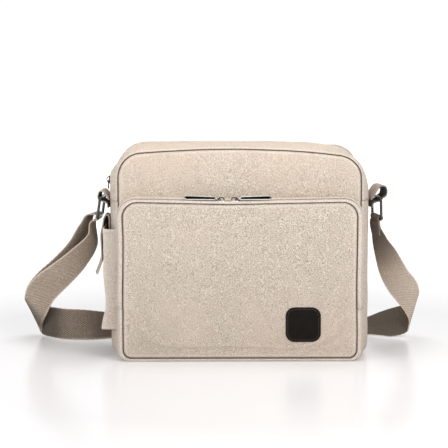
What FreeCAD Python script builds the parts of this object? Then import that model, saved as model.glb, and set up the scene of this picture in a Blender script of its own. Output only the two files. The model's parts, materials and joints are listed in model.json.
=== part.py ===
import FreeCAD, Part
import math
import os
import re

import Sketcher
from FreeCAD import Placement, Rotation, Vector

# A canvas messenger bag that stands on the floor with its webbing strap lying round it.
# Millimetres. The front pocket faces -Y, +Z is up, and +X is to the right when the front
# pocket is looked at. The origin is the middle of the main compartment's flat base.

SIZES = [
    # main compartment: its cross-section grows from the front seam to the middle of the depth
    ("half_depth", 45), ("front_half_width", 150.5), ("middle_half_width", 162),
    ("front_top", 260.5), ("middle_top", 265.5), ("back_top", 262),
    ("top_radius", 31), ("middle_round_extra", 9), ("bottom_radius", 13), ("base_allowance", 1),
    ("canvas", 1.6), ("panel_canvas", 1.4), ("seam_gap", 0.05),
    # the zips: chain half width, slit between the two coil rows, coil and tape depth
    ("chain_half", 3.2), ("slit_half", 0.9), ("tape_start", 1.65), ("coil_depth", 2.45),
    ("tape_reach", 14), ("main_zip_end", 196),
    # front pocket: outlines at four depths, each a little larger than the one before
    ("pocket_front", 70), ("pocket_half_width", 151), ("pocket_top", 201), ("pocket_sag", 2.7),
    ("sag_place", 15), ("pocket_top_radius", 25), ("pocket_bottom_radius", 14),
    ("edge_inset", 3.9), ("welt_inset", 2.2), ("rear_outset", 1),
    ("welt_end", 65.5), ("chain_end", 59.5), ("pocket_zip_end", 65),
    # the slit leans with the sloping band, so its rear lip stands further from the middle
    ("slit_front", 0.8), ("slit_rear", 1.6),
    # linings and stiffeners
    ("lining_start", 2.7), ("lining_end", 3.2), ("foam", 3.8),
    ("divider_place", 22), ("divider_top", 172), ("board_thickness", 2),
    # badge
    ("badge_side", 43.2), ("badge_radius", 11), ("badge_thickness", 1.6),
    ("badge_x", 77.6), ("badge_z", 45.9),
    # webbing, rings and the strap's sliding buckle
    ("webbing_width", 40), ("webbing_thickness", 1.6), ("ring_wire", 1.8),
    ("ring_span", 45), ("ring_drop", 25.5), ("ring_corner", 2.4), ("tab_width", 34),
    ("tab_wall", 2), ("bar_play", 0.5), ("turn_play", 0.1),
    ("buckle_bar", 1.1), ("buckle_length", 26), ("buckle_rail", 2.4),
    ("buckle_play", 0.4), ("buckle_side_play", 0.6), ("sewn_tail", 25),
    # zip sliders and their pulls
    ("slider_length", 10), ("slider_width", 8), ("slider_plate", 1.1), ("slider_gap", 0.3),
    ("neck_width", 1.2), ("arch_length", 7.6), ("arch_width", 1.8), ("arch_height", 4.8), ("arch_bar", 1.2),
    ("pull_length", 45), ("main_pull_length", 11), ("pull_width", 5.5), ("pull_thickness", 1.4),
    ("pull_window", 3.5), ("pull_axis_height", 2.6), ("pull_axis_offset", 1.5),
    # side pocket and its closing tab
    ("side_pocket_half", 40), ("side_wall", 1.6), ("closing_tab_width", 24),
]

MAIN_SLIDER_HEIGHT = 219.0
LEFT_SLIDER_X = -22.8
RIGHT_SLIDER_X = -6.4
LEFT_RING = (-172.2, 0.0, 198.0)
RIGHT_RING = (172.7, 0.0, 197.0)
LEFT_RING_YAW, LEFT_RING_TILT = -4.0, 8.0
RIGHT_RING_YAW, RIGHT_RING_TILT = 9.0, -1.5
TAB_HINGE = (-174.0, 152.0)
BUCKLE_X = -60.0
# The side pocket's outer wall from its mouth down to its flared hem: (x, z). Its two ends run on
# to a place inside the body, where the body's own form cuts them off.
SIDE_POCKET_WALL = [(-170.5, 160.0), (-171.0, 130.0), (-172.6, 104.0), (-171.0, 86.0),
                    (-169.8, 70.0), (-170.0, 58.0), (-173.0, 47.0), (-175.0, 35.0)]
INSIDE_BODY = -150.0

# The strap's two edges where it lies, from the left ring out and down to the floor, along behind
# the bag and up to the right ring: (upper edge, lower edge).
STRAP_STATIONS = [
    ((-178.6, -19.9, 164.6), (-175.8, 19.9, 163.2)),
    ((-190.0, -15.0, 151.0), (-181.0, 20.0, 134.5)),
    ((-213.0, 0.0, 129.5), (-196.5, 27.0, 105.5)),
    ((-241.0, 22.0, 107.4), (-216.0, 41.0, 82.0)),
    ((-262.0, 42.0, 90.5), (-231.0, 52.0, 67.0)),
    ((-276.0, 62.0, 74.0), (-245.0, 70.0, 50.0)),
    ((-281.0, 76.0, 62.0), (-254.0, 83.0, 33.0)),
    ((-283.0, 91.0, 52.0), (-262.0, 96.0, 18.0)),
    ((-280.5, 104.0, 45.5), (-265.5, 107.0, 8.5)),
    ((-272.5, 112.0, 41.8), (-264.0, 113.0, 2.8)),
    ((-260.5, 108.0, 41.0), (-257.0, 107.0, 1.2)),
    ((-245.0, 94.0, 41.0), (-245.0, 92.0, 1.0)),
    ((-226.0, 83.0, 40.4), (-227.0, 76.0, 1.0)),
    ((-205.0, 86.0, 38.4), (-206.0, 72.0, 1.0)),
    ((-182.0, 99.0, 33.0), (-183.0, 75.0, 1.2)),
    ((-160.0, 111.0, 29.5), (-160.0, 81.5, 2.5)),
    ((-135.0, 118.0, 30.5), (-135.0, 86.0, 6.5)),
    ((20.0, 118.0, 30.5), (20.0, 86.0, 6.5)),
    ((60.0, 123.5, 24.5), (60.0, 88.0, 6.0)),
    ((110.0, 135.0, 17.0), (110.0, 97.0, 4.5)),
    ((150.0, 141.0, 14.0), (150.0, 103.0, 1.5)),
    ((174.0, 141.0, 18.5), (176.0, 105.0, 1.2)),
    ((190.0, 127.0, 28.0), (190.0, 97.0, 1.4)),
    ((206.0, 109.0, 37.0), (204.0, 91.0, 1.3)),
    ((220.0, 100.0, 42.5), (216.0, 92.0, 3.5)),
    ((230.5, 93.0, 46.5), (224.0, 91.0, 7.2)),
    ((235.5, 83.0, 51.5), (226.5, 86.0, 12.6)),
    ((234.5, 71.0, 61.0), (223.0, 77.0, 23.0)),
    ((230.5, 57.0, 73.0), (214.0, 66.0, 37.8)),
    ((226.0, 43.0, 84.5), (204.0, 54.0, 53.0)),
    ((218.0, 26.0, 97.0), (193.0, 42.0, 70.0)),
    ((207.5, 9.0, 113.0), (181.5, 30.0, 91.5)),
    ((196.0, -7.0, 131.0), (173.8, 24.0, 118.5)),
    ((183.0, -16.5, 148.0), (169.8, 21.0, 143.5)),
]
# How far the doubled layer lies above the first one, from the left ring to the buckle.
RETURN_GAPS = [None, 18.0, 14.0, 9.0, 5.8, 3.8, 2.9, 2.5, 2.4, 2.4, 2.4, 2.4, 2.4, 2.4, 2.4, 2.4, 2.4]
RETURN_START = ((-190.5, -19.0, 171.0), (-185.5, 20.4, 167.5))
RETURN_END_X = -85.5

doc = FreeCAD.newDocument("messenger_bag")
sheet = doc.addObject("Spreadsheet::Sheet", "Sizes")
NODES = []


def fill_sheet():
    """Write one row for each driving size: its name, its value and the value's alias."""
    for row, (alias, value) in enumerate(SIZES, start=1):
        sheet.set(f"A{row}", alias)
        sheet.set(f"B{row}", str(value))
        sheet.setAlias(f"B{row}", alias)
    doc.recompute()


def size(alias):
    return float(sheet.get(alias))


ALIAS_PATTERN = re.compile(r"\b(" + "|".join(alias for alias, _ in SIZES) + r")\b")


def linked(formula):
    """A formula with every alias pointed at the sheet."""
    return ALIAS_PATTERN.sub(r"Sizes.\1", str(formula))


def bind(item, **formulas):
    """Bind properties to formulas; a double underscore stands for a dot in the path."""
    for path, formula in formulas.items():
        item.setExpression(path.replace("__", "."), linked(formula))


def named(item, label):
    item.Label = label
    NODES.append(item)
    return item


# ---------------------------------------------------------------- outlines and lofted forms

def outline_edges(half, top, sag, round_top, round_bottom, bottom):
    """The straight and round edges of an outline, counter-clockwise from the lower left."""
    def line(x1, z1, x2, z2):
        return Part.LineSegment(Vector(x1, z1, 0), Vector(x2, z2, 0))

    def corner(x, z, radius, start):
        circle = Part.Circle(Vector(x, z, 0), Vector(0, 0, 1), radius)
        return Part.ArcOfCircle(circle, math.radians(start), math.radians(start + 90))

    flat, side = half - round_top, half - round_bottom
    lid = [line(flat, top, -flat, top)]
    if sag:
        middle = -size("sag_place")
        lid = [line(flat, top, middle, top - sag), line(middle, top - sag, -flat, top)]
    return [
        line(-side, bottom, side, bottom),
        corner(side, bottom + round_bottom, round_bottom, 270),
        line(half, bottom + round_bottom, half, top - round_top),
        corner(flat, top - round_top, round_top, 0),
        *lid,
        corner(-flat, top - round_top, round_top, 90),
        line(-half, top - round_top, -half, bottom + round_bottom),
        corner(-side, bottom + round_bottom, round_bottom, 180),
    ]


def outline(name, depth, half, top, bottom, round_top, round_bottom, sag="0"):
    """A rounded outline in a plane of constant depth; every size is a formula of the sheet."""
    sketch = doc.addObject("Sketcher::SketchObject", name)
    sketch.Placement = Placement(Vector(0, 0, 0), Rotation(Vector(1, 0, 0), 90))
    bind(sketch, Placement__Base__y=depth)
    formulas = (half, top, sag, round_top, round_bottom, bottom)
    drawn = [float(sketch.evalExpression(linked(formula))) for formula in formulas]
    sketch.addGeometry(outline_edges(*drawn), False)
    count, sagging = sketch.GeometryCount, drawn[2] > 0
    left = count - 2

    def add(kind, *places):
        return sketch.addConstraint(Sketcher.Constraint(kind, *places))

    def measure(kind, formula, *places):
        value = float(sketch.evalExpression(linked(formula)))
        index = add(kind, *places, value)
        sketch.renameConstraint(index, f"size{index}")
        sketch.setExpression(f"Constraints.size{index}", linked(formula))

    for first in range(count):
        loose = sagging and first in (3, 4, 5)
        add("Coincident" if loose else "Tangent", first, 2, (first + 1) % count, 1)
    add("Horizontal", 0)
    add("Vertical", 2)
    add("Vertical", left)
    add("Equal", 1, count - 1)
    add("Equal", 3, count - 3)
    measure("Radius", round_bottom, 1)
    measure("Radius", round_top, 3)
    measure("DistanceX", half, -1, 1, 2, 1)
    measure("DistanceX", half, left, 1, -1, 1)
    measure("DistanceY", top, -1, 1, 3, 2)
    measure("DistanceY", f"({top}) - ({bottom})", 0, 1, 3, 2)
    if sagging:
        add("Vertical", 3, 3, 3, 2)
        add("Vertical", 6, 3, 6, 1)
        add("Horizontal", 3, 2, 6, 1)
        measure("DistanceX", "sag_place", 4, 2, -1, 1)
        measure("DistanceY", f"({top}) - ({sag})", -1, 1, 4, 2)
    else:
        add("Horizontal", 4)
    return sketch


def loft(name, sections, ruled):
    form = doc.addObject("Part::Loft", name)
    form.Sections = sections
    form.Solid = True
    form.Ruled = ruled
    return form


def body_form(inset):
    """The main compartment's bulging form, drawn in by an inset from its outer surface."""
    tag = "body_" + inset.replace(" ", "").replace("+", "_and_")
    bottom = "-base_allowance" if inset == "0" else inset
    stations = [("-half_depth", "front_half_width", "front_top", "0"),
                ("0", "middle_half_width", "middle_top", "middle_round_extra"),
                ("half_depth", "front_half_width", "back_top", "0")]
    sections = []
    for place, (depth, half, top, extra) in enumerate(stations):
        sections.append(outline(f"{tag}_{place}", depth, f"{half} - ({inset})", f"{top} - ({inset})",
                                bottom, f"top_radius + {extra} - ({inset})",
                                f"bottom_radius - ({inset})"))
    return loft(tag, sections, False)


def pocket_form(inset):
    """The front pocket's form: a bevelled front edge, the zip's sloping band, a straight rear."""
    tag = "pocket_" + inset.replace(" ", "").replace("+", "_and_")
    bottom = "-base_allowance" if inset == "0" else inset
    stations = [("-pocket_front", "edge_inset"), ("-welt_end", "welt_inset"),
                ("-chain_end", "0"), ("-half_depth", "-rear_outset")]
    sections = []
    for place, (depth, step) in enumerate(stations):
        total = f"(({step}) + ({inset}))"
        sections.append(outline(f"{tag}_{place}", depth, f"pocket_half_width - {total}",
                                f"pocket_top - {total}", bottom, f"pocket_top_radius - {total}",
                                f"pocket_bottom_radius - ({inset})", "pocket_sag"))
    return loft(tag, sections, True)


# ---------------------------------------------------------------- booleans and boxes

def box(name, x=("-400", "400"), y=("-400", "400"), z=("0", "400")):
    """A box between pairs of formulas; the default reaches past everything above the floor."""
    block = doc.addObject("Part::Box", name)
    bind(block, Length=f"({x[1]}) - ({x[0]})", Width=f"({y[1]}) - ({y[0]})",
         Height=f"({z[1]}) - ({z[0]})", Placement__Base__x=x[0], Placement__Base__y=y[0],
         Placement__Base__z=z[0])
    return block


def cut(name, base, tool):
    item = doc.addObject("Part::Cut", name)
    item.Base, item.Tool = base, tool
    return item


def common(name, *shapes):
    item = doc.addObject("Part::MultiCommon", name)
    item.Shapes = list(shapes)
    return item


def fuse(name, *shapes):
    item = doc.addObject("Part::MultiFuse", name)
    item.Shapes = list(shapes)
    return item


FORMS = {}


def form(kind, inset):
    """Each lofted form is made once and shared by the pieces cut from it."""
    if (kind, inset) not in FORMS:
        FORMS[kind, inset] = {"body": body_form, "pocket": pocket_form}[kind](inset)
    return FORMS[kind, inset]


def ring(kind, outer, inner, name, **limits):
    """The layer between two insets of a form, within limits of width, depth and height."""
    layer = cut(f"{name}_layer", form(kind, outer), form(kind, inner))
    return common(name, layer, box(f"{name}_limits", **limits))


# ---------------------------------------------------------------- main compartment

def canvas_shell():
    """Front and back panels, the gusset round base and sides, and the two top zip strips."""
    for label, low, high in (("front_panel", "-half_depth", "panel_canvas - half_depth"),
                             ("back_panel", "half_depth - panel_canvas", "half_depth")):
        inner = form("body", "canvas + seam_gap")
        named(common(label, inner, box(f"{label}_limits", y=(low, high))), label)
    named(ring("body", "0", "canvas", "body_gusset", z=("0", "main_zip_end")), "body_gusset")
    strips = (("zip_gusset_front", "-half_depth", "-chain_half"),
              ("zip_gusset_rear", "chain_half", "half_depth"))
    for label, low, high in strips:
        named(ring("body", "0", "canvas", label, y=(low, high), z=("main_zip_end", "400")), label)


def zip_half(kind, label, chain, tape, height):
    """One half of a zip: a coil row along the edge of its woven tape."""
    coil = ring(kind, "0", "coil_depth", f"{label}_coil", y=chain, z=(height, "400"))
    woven = ring(kind, "tape_start", "coil_depth", f"{label}_woven", y=tape, z=(height, "400"))
    named(fuse(label, coil, woven), label)


def main_zip():
    zip_half("body", "main_zip_half_front", ("-chain_half", "-slit_half"),
             ("-tape_reach", "-chain_half"), "main_zip_end")
    zip_half("body", "main_zip_half_rear", ("slit_half", "chain_half"),
             ("chain_half", "tape_reach"), "main_zip_end")
    slit = ("0.1 - slit_half", "slit_half - 0.1")
    named(ring("body", "0.05", "coil_depth", "main_zip_stops", y=slit,
               z=("main_zip_end", "main_zip_end + 3")), "main_zip_stops")


def inner_parts():
    """Lining, document divider, foam in the back and the stiff board in the base."""
    rear = "half_depth - panel_canvas - 0.2"
    foam_front = f"{rear} - foam"
    space = common("lining_outside", form("body", "lining_start"),
                   box("lining_limits", y=("0.2 + panel_canvas - half_depth", f"{foam_front} - 0.2")))
    hollow = common("lining_inside", form("body", "lining_end"),
                    box("lining_hollow", y=("0.7 + panel_canvas - half_depth", f"{foam_front} - 0.7")))
    bag = cut("lining_closed", space, hollow)
    mouth = box("lining_mouth", y=("-tape_reach", "tape_reach"), z=("main_zip_end - 2", "400"))
    named(cut("lining", bag, mouth), "lining")
    named(common("back_foam", form("body", "lining_start"),
                 box("back_foam_limits", y=(foam_front, rear))), "back_foam")
    named(common("divider", form("body", "lining_end"),
                 box("divider_limits", y=("divider_place", "divider_place + 0.8"),
                     z=("lining_end + board_thickness + 0.1", "divider_top"))), "divider")
    named(box("base_board", x=("-138", "138"), y=("-38", "36"),
              z=("lining_end", "lining_end + board_thickness")), "base_board")


# ---------------------------------------------------------------- front pocket

def front_pocket():
    """Panel, folded welt, gusset and zip of the pocket on the bag's front."""
    face = form("pocket", "canvas + seam_gap")
    named(common("pocket_panel", face,
                 box("pocket_panel_limits", y=("-pocket_front", "panel_canvas - pocket_front"))),
          "pocket_panel")
    above, below = ("pocket_zip_end", "400"), ("0", "pocket_zip_end")
    named(ring("pocket", "0", "canvas", "pocket_welt", y=("-pocket_front", "-welt_end"), z=above),
          "pocket_welt")
    named(ring("pocket", "0", "canvas", "pocket_rear_strip", y=("-chain_end", "-half_depth"),
               z=above), "pocket_rear_strip")
    named(ring("pocket", "0", "canvas", "pocket_gusset", y=("-pocket_front", "-half_depth"),
               z=below), "pocket_gusset")
    middle = "((welt_end + chain_end) / 2)"
    front_lip, rear_lip = f"-slit_front - {middle}", f"slit_rear - {middle}"
    zip_half("pocket", "pocket_zip_half_front", ("-welt_end", front_lip),
             ("panel_canvas + 0.2 - pocket_front", "-welt_end"), "pocket_zip_end")
    zip_half("pocket", "pocket_zip_half_rear", (rear_lip, "-chain_end"),
             ("-chain_end", "9 - chain_end"), "pocket_zip_end")
    named(ring("pocket", "0.05", "coil_depth", "pocket_zip_stops",
               y=(f"{front_lip} + 0.1", f"{rear_lip} - 0.1"),
               z=("pocket_zip_end", "pocket_zip_end + 3")), "pocket_zip_stops")


def pocket_lining():
    space = common("pocket_lining_outside", form("pocket", "lining_start"),
                   box("pocket_lining_limits", y=("0.3 + panel_canvas - pocket_front",
                                                  "-half_depth - 0.2")))
    hollow = common("pocket_lining_inside", form("pocket", "lining_end"),
                    box("pocket_lining_hollow", y=("0.8 + panel_canvas - pocket_front",
                                                   "-half_depth - 0.7")))
    bag = cut("pocket_lining_closed", space, hollow)
    mouth = box("pocket_lining_mouth", y=("-welt_end - 1.5", "3 - chain_end"),
                z=("pocket_zip_end", "400"))
    named(cut("pocket_lining", bag, mouth), "pocket_lining")


# ---------------------------------------------------------------- pads drawn in a body's planes

def new_body(label):
    return named(doc.addObject("PartDesign::Body", label), label)


def pad(body, name, role, centre, lift, width, height, depth, hole=False):
    """Pad, or pocket, a rectangle centred on formulas in one of the body's own planes."""
    sketch = body.newObject("Sketcher::SketchObject", f"{name}_sketch")
    plane = next(item for item in body.Origin.OriginFeatures if item.Role == role)
    sketch.AttachmentSupport = (plane, [""])
    sketch.MapMode = "FlatFace"
    bind(sketch, AttachmentOffset__Base__x=centre[0], AttachmentOffset__Base__y=centre[1],
         AttachmentOffset__Base__z=lift)
    u, v = (float(sketch.evalExpression(linked(side))) / 2 for side in (width, height))
    corners = [Vector(-u, -v, 0), Vector(u, -v, 0), Vector(u, v, 0), Vector(-u, v, 0)]
    for first in range(4):
        sketch.addGeometry(Part.LineSegment(corners[first], corners[(first + 1) % 4]), False)
    for first in range(4):
        sketch.addConstraint(Sketcher.Constraint("Coincident", first, 2, (first + 1) % 4, 1))
    for index, kind in enumerate(("Horizontal", "Vertical", "Horizontal", "Vertical")):
        sketch.addConstraint(Sketcher.Constraint(kind, index))
    sketch.addConstraint(Sketcher.Constraint("Symmetric", 0, 1, 2, 1, -1, 1))
    for kind, line, side, value in (("DistanceX", 0, width, 2 * u), ("DistanceY", 1, height, 2 * v)):
        index = sketch.addConstraint(Sketcher.Constraint(kind, line, 1, line, 2, value))
        sketch.renameConstraint(index, f"size{index}")
        sketch.setExpression(f"Constraints.size{index}", linked(side))
    feature = body.newObject("PartDesign::Pocket" if hole else "PartDesign::Pad", name)
    feature.Profile = sketch
    bind(feature, Length=depth)
    if hole:
        feature.Reversed = True
    return feature


def leather_badge():
    """A square leather patch with round corners sewn on the pocket's face."""
    body = new_body("leather_patch")
    pad(body, "leather_patch_pad", "XZ_Plane", ("badge_x", "badge_z"), "pocket_front",
        "badge_side", "badge_side", "badge_thickness")
    doc.recompute()
    pad_feature = body.Tip
    edges = [f"Edge{index}" for index, edge in enumerate(pad_feature.Shape.Edges, start=1)
             if abs(edge.tangentAt(edge.FirstParameter).y) > 0.99]
    rounding = body.newObject("PartDesign::Fillet", "leather_patch_corners")
    rounding.Base = (pad_feature, edges)
    bind(rounding, Radius="badge_radius")


# ---------------------------------------------------------------- zip sliders and pulls

def slider(label):
    """A zip slider: plates above and below the chain, the neck between, the arch for its pull."""
    body = new_body(label)
    below = "-coil_depth - slider_gap"
    pad(body, f"{label}_top", "XY_Plane", ("0", "0"), "slider_gap", "slider_length",
        "slider_width", "slider_plate")
    pad(body, f"{label}_neck", "XY_Plane", ("1.6 - slider_length / 2", "0"), below,
        "3", "neck_width", "coil_depth + 3 * slider_gap")
    pad(body, f"{label}_bottom", "XY_Plane", ("0", "0"), f"{below} - slider_plate",
        "slider_length", "2 * chain_half - 0.4", "slider_plate")
    plate_top = "(slider_gap + slider_plate)"
    pad(body, f"{label}_arch", "XY_Plane", ("0", "0"), f"{plate_top} - 0.1", "arch_length",
        "arch_width", f"arch_height - {plate_top} + 0.1")
    pad(body, f"{label}_window", "XZ_Plane",
        ("0", f"({plate_top} + arch_height - arch_bar) / 2"), "-arch_width",
        "arch_length - 2 * arch_bar", f"arch_height - arch_bar - {plate_top}",
        "2 * arch_width", hole=True)
    return body


def pull(label, length):
    """A zip pull: a bar with a window at one end, whose round end bar sits under the arch."""
    body = new_body(label)
    level = "pull_axis_height - pull_thickness / 2"
    start = "pull_axis_offset - pull_thickness / 2"
    pad(body, f"{label}_bar", "XY_Plane", (f"{start} + ({length}) / 2", "0"), level,
        length, "pull_width", "pull_thickness")
    pad(body, f"{label}_window", "XY_Plane",
        (f"{start} + pull_thickness + pull_window / 2", "0"), f"{level} - 1", "pull_window",
        "arch_width + 0.8", "pull_thickness + 2", hole=True)
    return body


def zip_frame(place, outward, tilt, slope):
    """The frame of a zip at a place: X the way the pull points, Z out of the chain's face."""
    along = Vector(*outward)
    across = Rotation(Vector(1, 0, 0), tilt).multVec(Vector(0, 1, 0))
    normal = along.cross(across)
    if normal.dot(Vector(*slope)) < 0:
        across = -across
        normal = along.cross(across)
    matrix = FreeCAD.Matrix(along.x, across.x, normal.x, place[0], along.y, across.y, normal.y,
                            place[1], along.z, across.z, normal.z, place[2], 0, 0, 0, 1)
    return Placement(matrix)


def pocket_zip_frame(x, side):
    """On the pocket's sloping band at x; side is +1 towards the right and -1 to the left."""
    drop = size("welt_inset") / 2
    run = size("pocket_half_width") - size("pocket_top_radius") + side * size("sag_place")
    rise = size("pocket_sag") / run
    height = size("pocket_top") - size("pocket_sag") + abs(x + size("sag_place")) * rise
    along = Vector(side, 0, rise).normalize()
    tilt = math.degrees(math.atan2(size("welt_inset"), size("welt_end") - size("chain_end")))
    middle = -(size("welt_end") + size("chain_end")) / 2
    return zip_frame((x, middle, height - drop), along, tilt, (0, 0, 1))


def sliders_and_pulls():
    frames = {
        "pocket_{}_left": pocket_zip_frame(LEFT_SLIDER_X, -1),
        "pocket_{}_right": pocket_zip_frame(RIGHT_SLIDER_X, 1),
        "main_{}": zip_frame((-size("middle_half_width"), 0, MAIN_SLIDER_HEIGHT), (0, 0, -1), 0,
                             (-1, 0, 0)),
    }
    for pattern, frame in frames.items():
        length = "main_pull_length" if pattern == "main_{}" else "pull_length"
        for body in (slider(pattern.format("slider")), pull(pattern.format("pull"), length)):
            body.Placement = frame


# ---------------------------------------------------------------- fabric profiles, rings, webbing

def profile(points):
    """A closed wire in the XZ plane; a point given as a pair of points is an arc to the second."""
    edges, last = [], points[0]
    for step in points[1:] + [points[0]]:
        if isinstance(step[0], tuple):
            through, end = step
            arc = Part.Arc(*(Vector(x, 0, z) for x, z in (last, through, end)))
            edges.append(arc.toShape())
            last = end
        else:
            if step != last:
                edges.append(Part.makeLine(Vector(last[0], 0, last[1]), Vector(step[0], 0, step[1])))
            last = step
    return Part.Wire(edges)


def extrusion(name, points, width):
    """A profile extruded along Y, as much to the front as to the back."""
    base = doc.addObject("Part::Feature", f"{name}_profile")
    base.Shape = profile(points)
    item = doc.addObject("Part::Extrusion", name)
    item.Base = base
    item.DirMode = "Custom"
    item.Dir = Vector(0, 1, 0)
    item.Solid = True
    bind(item, LengthFwd=f"({width}) / 2", LengthRev=f"({width}) / 2")
    return item


def yawed(item, centre, yaw):
    item.Placement = Placement(Vector(0, 0, 0), Rotation(Vector(0, 0, 1), yaw), Vector(*centre))
    return item


def strap_tab(label, side, ring_place, yaw, apex, outer):
    """A stiff fabric loop sewn on the side seam; the ring's upper bar hangs in its outer end."""
    x, z = abs(ring_place[0]), ring_place[2]
    radius, wall = size("ring_wire") + size("bar_play"), size("tab_wall")
    reach = radius + wall
    solid = [(152.0, 184.0), (164.0, 184.0), (164.0, z - 7.5), (x + 0.5, z - reach),
             ((x + reach * 0.8, z - reach * 0.6), (outer, z + 2.0)),
             ((apex[0] + 2.0, apex[1]), (164.5, z + 1.0)), (152.0, z - 1.0)]
    hollow = [(165.3, z - 5.2), (x + 0.3, z - radius),
              ((x + radius * 0.8, z - radius * 0.6), (outer - wall, z + 1.8)),
              ((apex[0] + 1.8, apex[1] - wall), (166.3, z - 0.3))]

    def mirrored(points):
        return [tuple((side * a, b) for a, b in step) if isinstance(step[0], tuple)
                else (side * step[0], step[1]) for step in points]

    loop = cut(f"{label}_loop", extrusion(f"{label}_solid", mirrored(solid), "tab_width"),
               extrusion(f"{label}_hollow", mirrored(hollow), "tab_width + 2"))
    yawed(loop, ring_place, yaw)
    named(cut(label, loop, form("body", "0")), label)


def rod(name, radius, length, place, direction):
    item = doc.addObject("Part::Cylinder", name)
    bind(item, Radius=radius, Height=length)
    item.Placement = Placement(Vector(*place), Rotation(Vector(0, 0, 1), Vector(*direction)))
    return item


def strap_ring(label, place, yaw, tilt):
    """A rectangular ring of round wire with rounded corners, hanging from its upper bar."""
    span, drop, bend = size("ring_span"), size("ring_drop"), size("ring_corner")
    half = span / 2
    bars = [rod(f"{label}_upper", "ring_wire", "ring_span - 2 * ring_corner",
                (0, bend - half, 0), (0, 1, 0)),
            rod(f"{label}_lower", "ring_wire", "ring_span - 2 * ring_corner",
                (0, bend - half, -drop), (0, 1, 0))]
    for index, end in enumerate((-half, half)):
        bars.append(rod(f"{label}_side{index}", "ring_wire", "ring_drop - 2 * ring_corner",
                        (0, end, bend - drop), (0, 0, 1)))
    for index, (end, level, start) in enumerate(((half, 0, 0), (-half, 0, 90),
                                                 (-half, -drop, 180), (half, -drop, 270))):
        bow = doc.addObject("Part::Torus", f"{label}_corner{index}")
        bind(bow, Radius1="ring_corner", Radius2="ring_wire")
        bow.Angle3 = 90
        centre = Vector(0, end - math.copysign(bend, end), level - bend if level == 0 else level + bend)
        upright = FreeCAD.Matrix(0, 0, 1, 0, 1, 0, 0, 0, 0, 1, 0, 0, 0, 0, 0, 1)
        turn = Placement(upright).Rotation.multiply(Rotation(Vector(0, 0, 1), start))
        bow.Placement = Placement(centre, turn)
        bars.append(bow)
    whole = fuse(label, *bars)
    whole.Placement = ring_frame(place, yaw, tilt)
    return named(whole, label)


def ring_frame(place, yaw, tilt):
    turn = Rotation(Vector(0, 0, 1), yaw).multiply(Rotation(Vector(0, 1, 0), tilt))
    return Placement(Vector(*place), turn)


def webbing_loop(label, place, yaw, tilt, tails):
    """The webbing's turn round a ring's lower bar; each tail is a direction and a length."""
    inner = size("ring_wire") + size("turn_play")
    outer = inner + size("webbing_thickness")
    drop, half = size("ring_drop"), size("webbing_width") / 2
    solid = Part.makeCylinder(outer, 2 * half, Vector(0, -half, -drop), Vector(0, 1, 0))
    bore = Part.makeCylinder(inner, 2 * half + 2, Vector(0, -half - 1, -drop), Vector(0, 1, 0))
    for angle, length, low, high in tails:
        tail = Part.makeBox(length, 2 * half, high - low, Vector(0, -half, low))
        tail.Placement = Placement(Vector(0, 0, -drop), Rotation(Vector(0, 1, 0), angle))
        solid = solid.fuse(tail)
    item = doc.addObject("Part::Feature", label)
    item.Shape = solid.cut(bore).removeSplitter()
    item.Placement = ring_frame(place, yaw, tilt)
    return named(item, label)


def strap_frames(stations):
    """Middle, half-width vector and face normal at each station of the webbing."""
    pairs = [(Vector(*upper), Vector(*lower)) for upper, lower in stations]
    middles = [(upper + lower) * 0.5 for upper, lower in pairs]
    frames = []
    for index, (upper, lower) in enumerate(pairs):
        before, after = middles[max(index - 1, 0)], middles[min(index + 1, len(pairs) - 1)]
        width = (lower - upper).normalize()
        normal = (after - before).cross(width).normalize()
        frames.append((middles[index], width * (size("webbing_width") / 2), normal))
    return frames


def band(label, frames):
    """A solid band through its frames, made of straight-sided spans."""
    half = size("webbing_thickness") / 2
    wires = []
    for middle, width, normal in frames:
        lift = normal * half
        ring_points = [middle - width - lift, middle + width - lift, middle + width + lift,
                       middle - width + lift]
        wires.append(Part.makePolygon(ring_points + ring_points[:1]))
    item = doc.addObject("Part::Feature", label)
    item.Shape = Part.makeLoft(wires, True, True)
    return named(item, label)


def shifted(frame, distance):
    middle, width, normal = frame
    return middle - normal * distance, width, normal


def strap():
    """One length of webbing: its long run, and the doubled layer from left ring to buckle."""
    frames = strap_frames(STRAP_STATIONS)
    band("strap_main", frames)
    start = strap_frames([RETURN_START, STRAP_STATIONS[1]])[0]
    doubled = [start]
    for frame, gap in zip(frames, RETURN_GAPS):
        if gap:
            doubled.append(shifted(frame, gap))
    middle, width, normal = doubled[-1]
    doubled.append((Vector(RETURN_END_X, middle.y, middle.z), width, normal))
    band("strap_return", doubled)
    return frames


def buckle_frame():
    """X along the webbing's straight run behind the bag, Y across it, Z up out of its face."""
    upper, lower = (Vector(*edge) for edge in STRAP_STATIONS[16])
    across = (upper - lower).normalize()
    along = Vector(1, 0, 0)
    normal = along.cross(across)
    middle = (upper + lower) * 0.5
    matrix = FreeCAD.Matrix(along.x, across.x, normal.x, BUCKLE_X, along.y, across.y, normal.y,
                            middle.y, along.z, across.z, normal.z, middle.z, 0, 0, 0, 1)
    return Placement(matrix)


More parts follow.
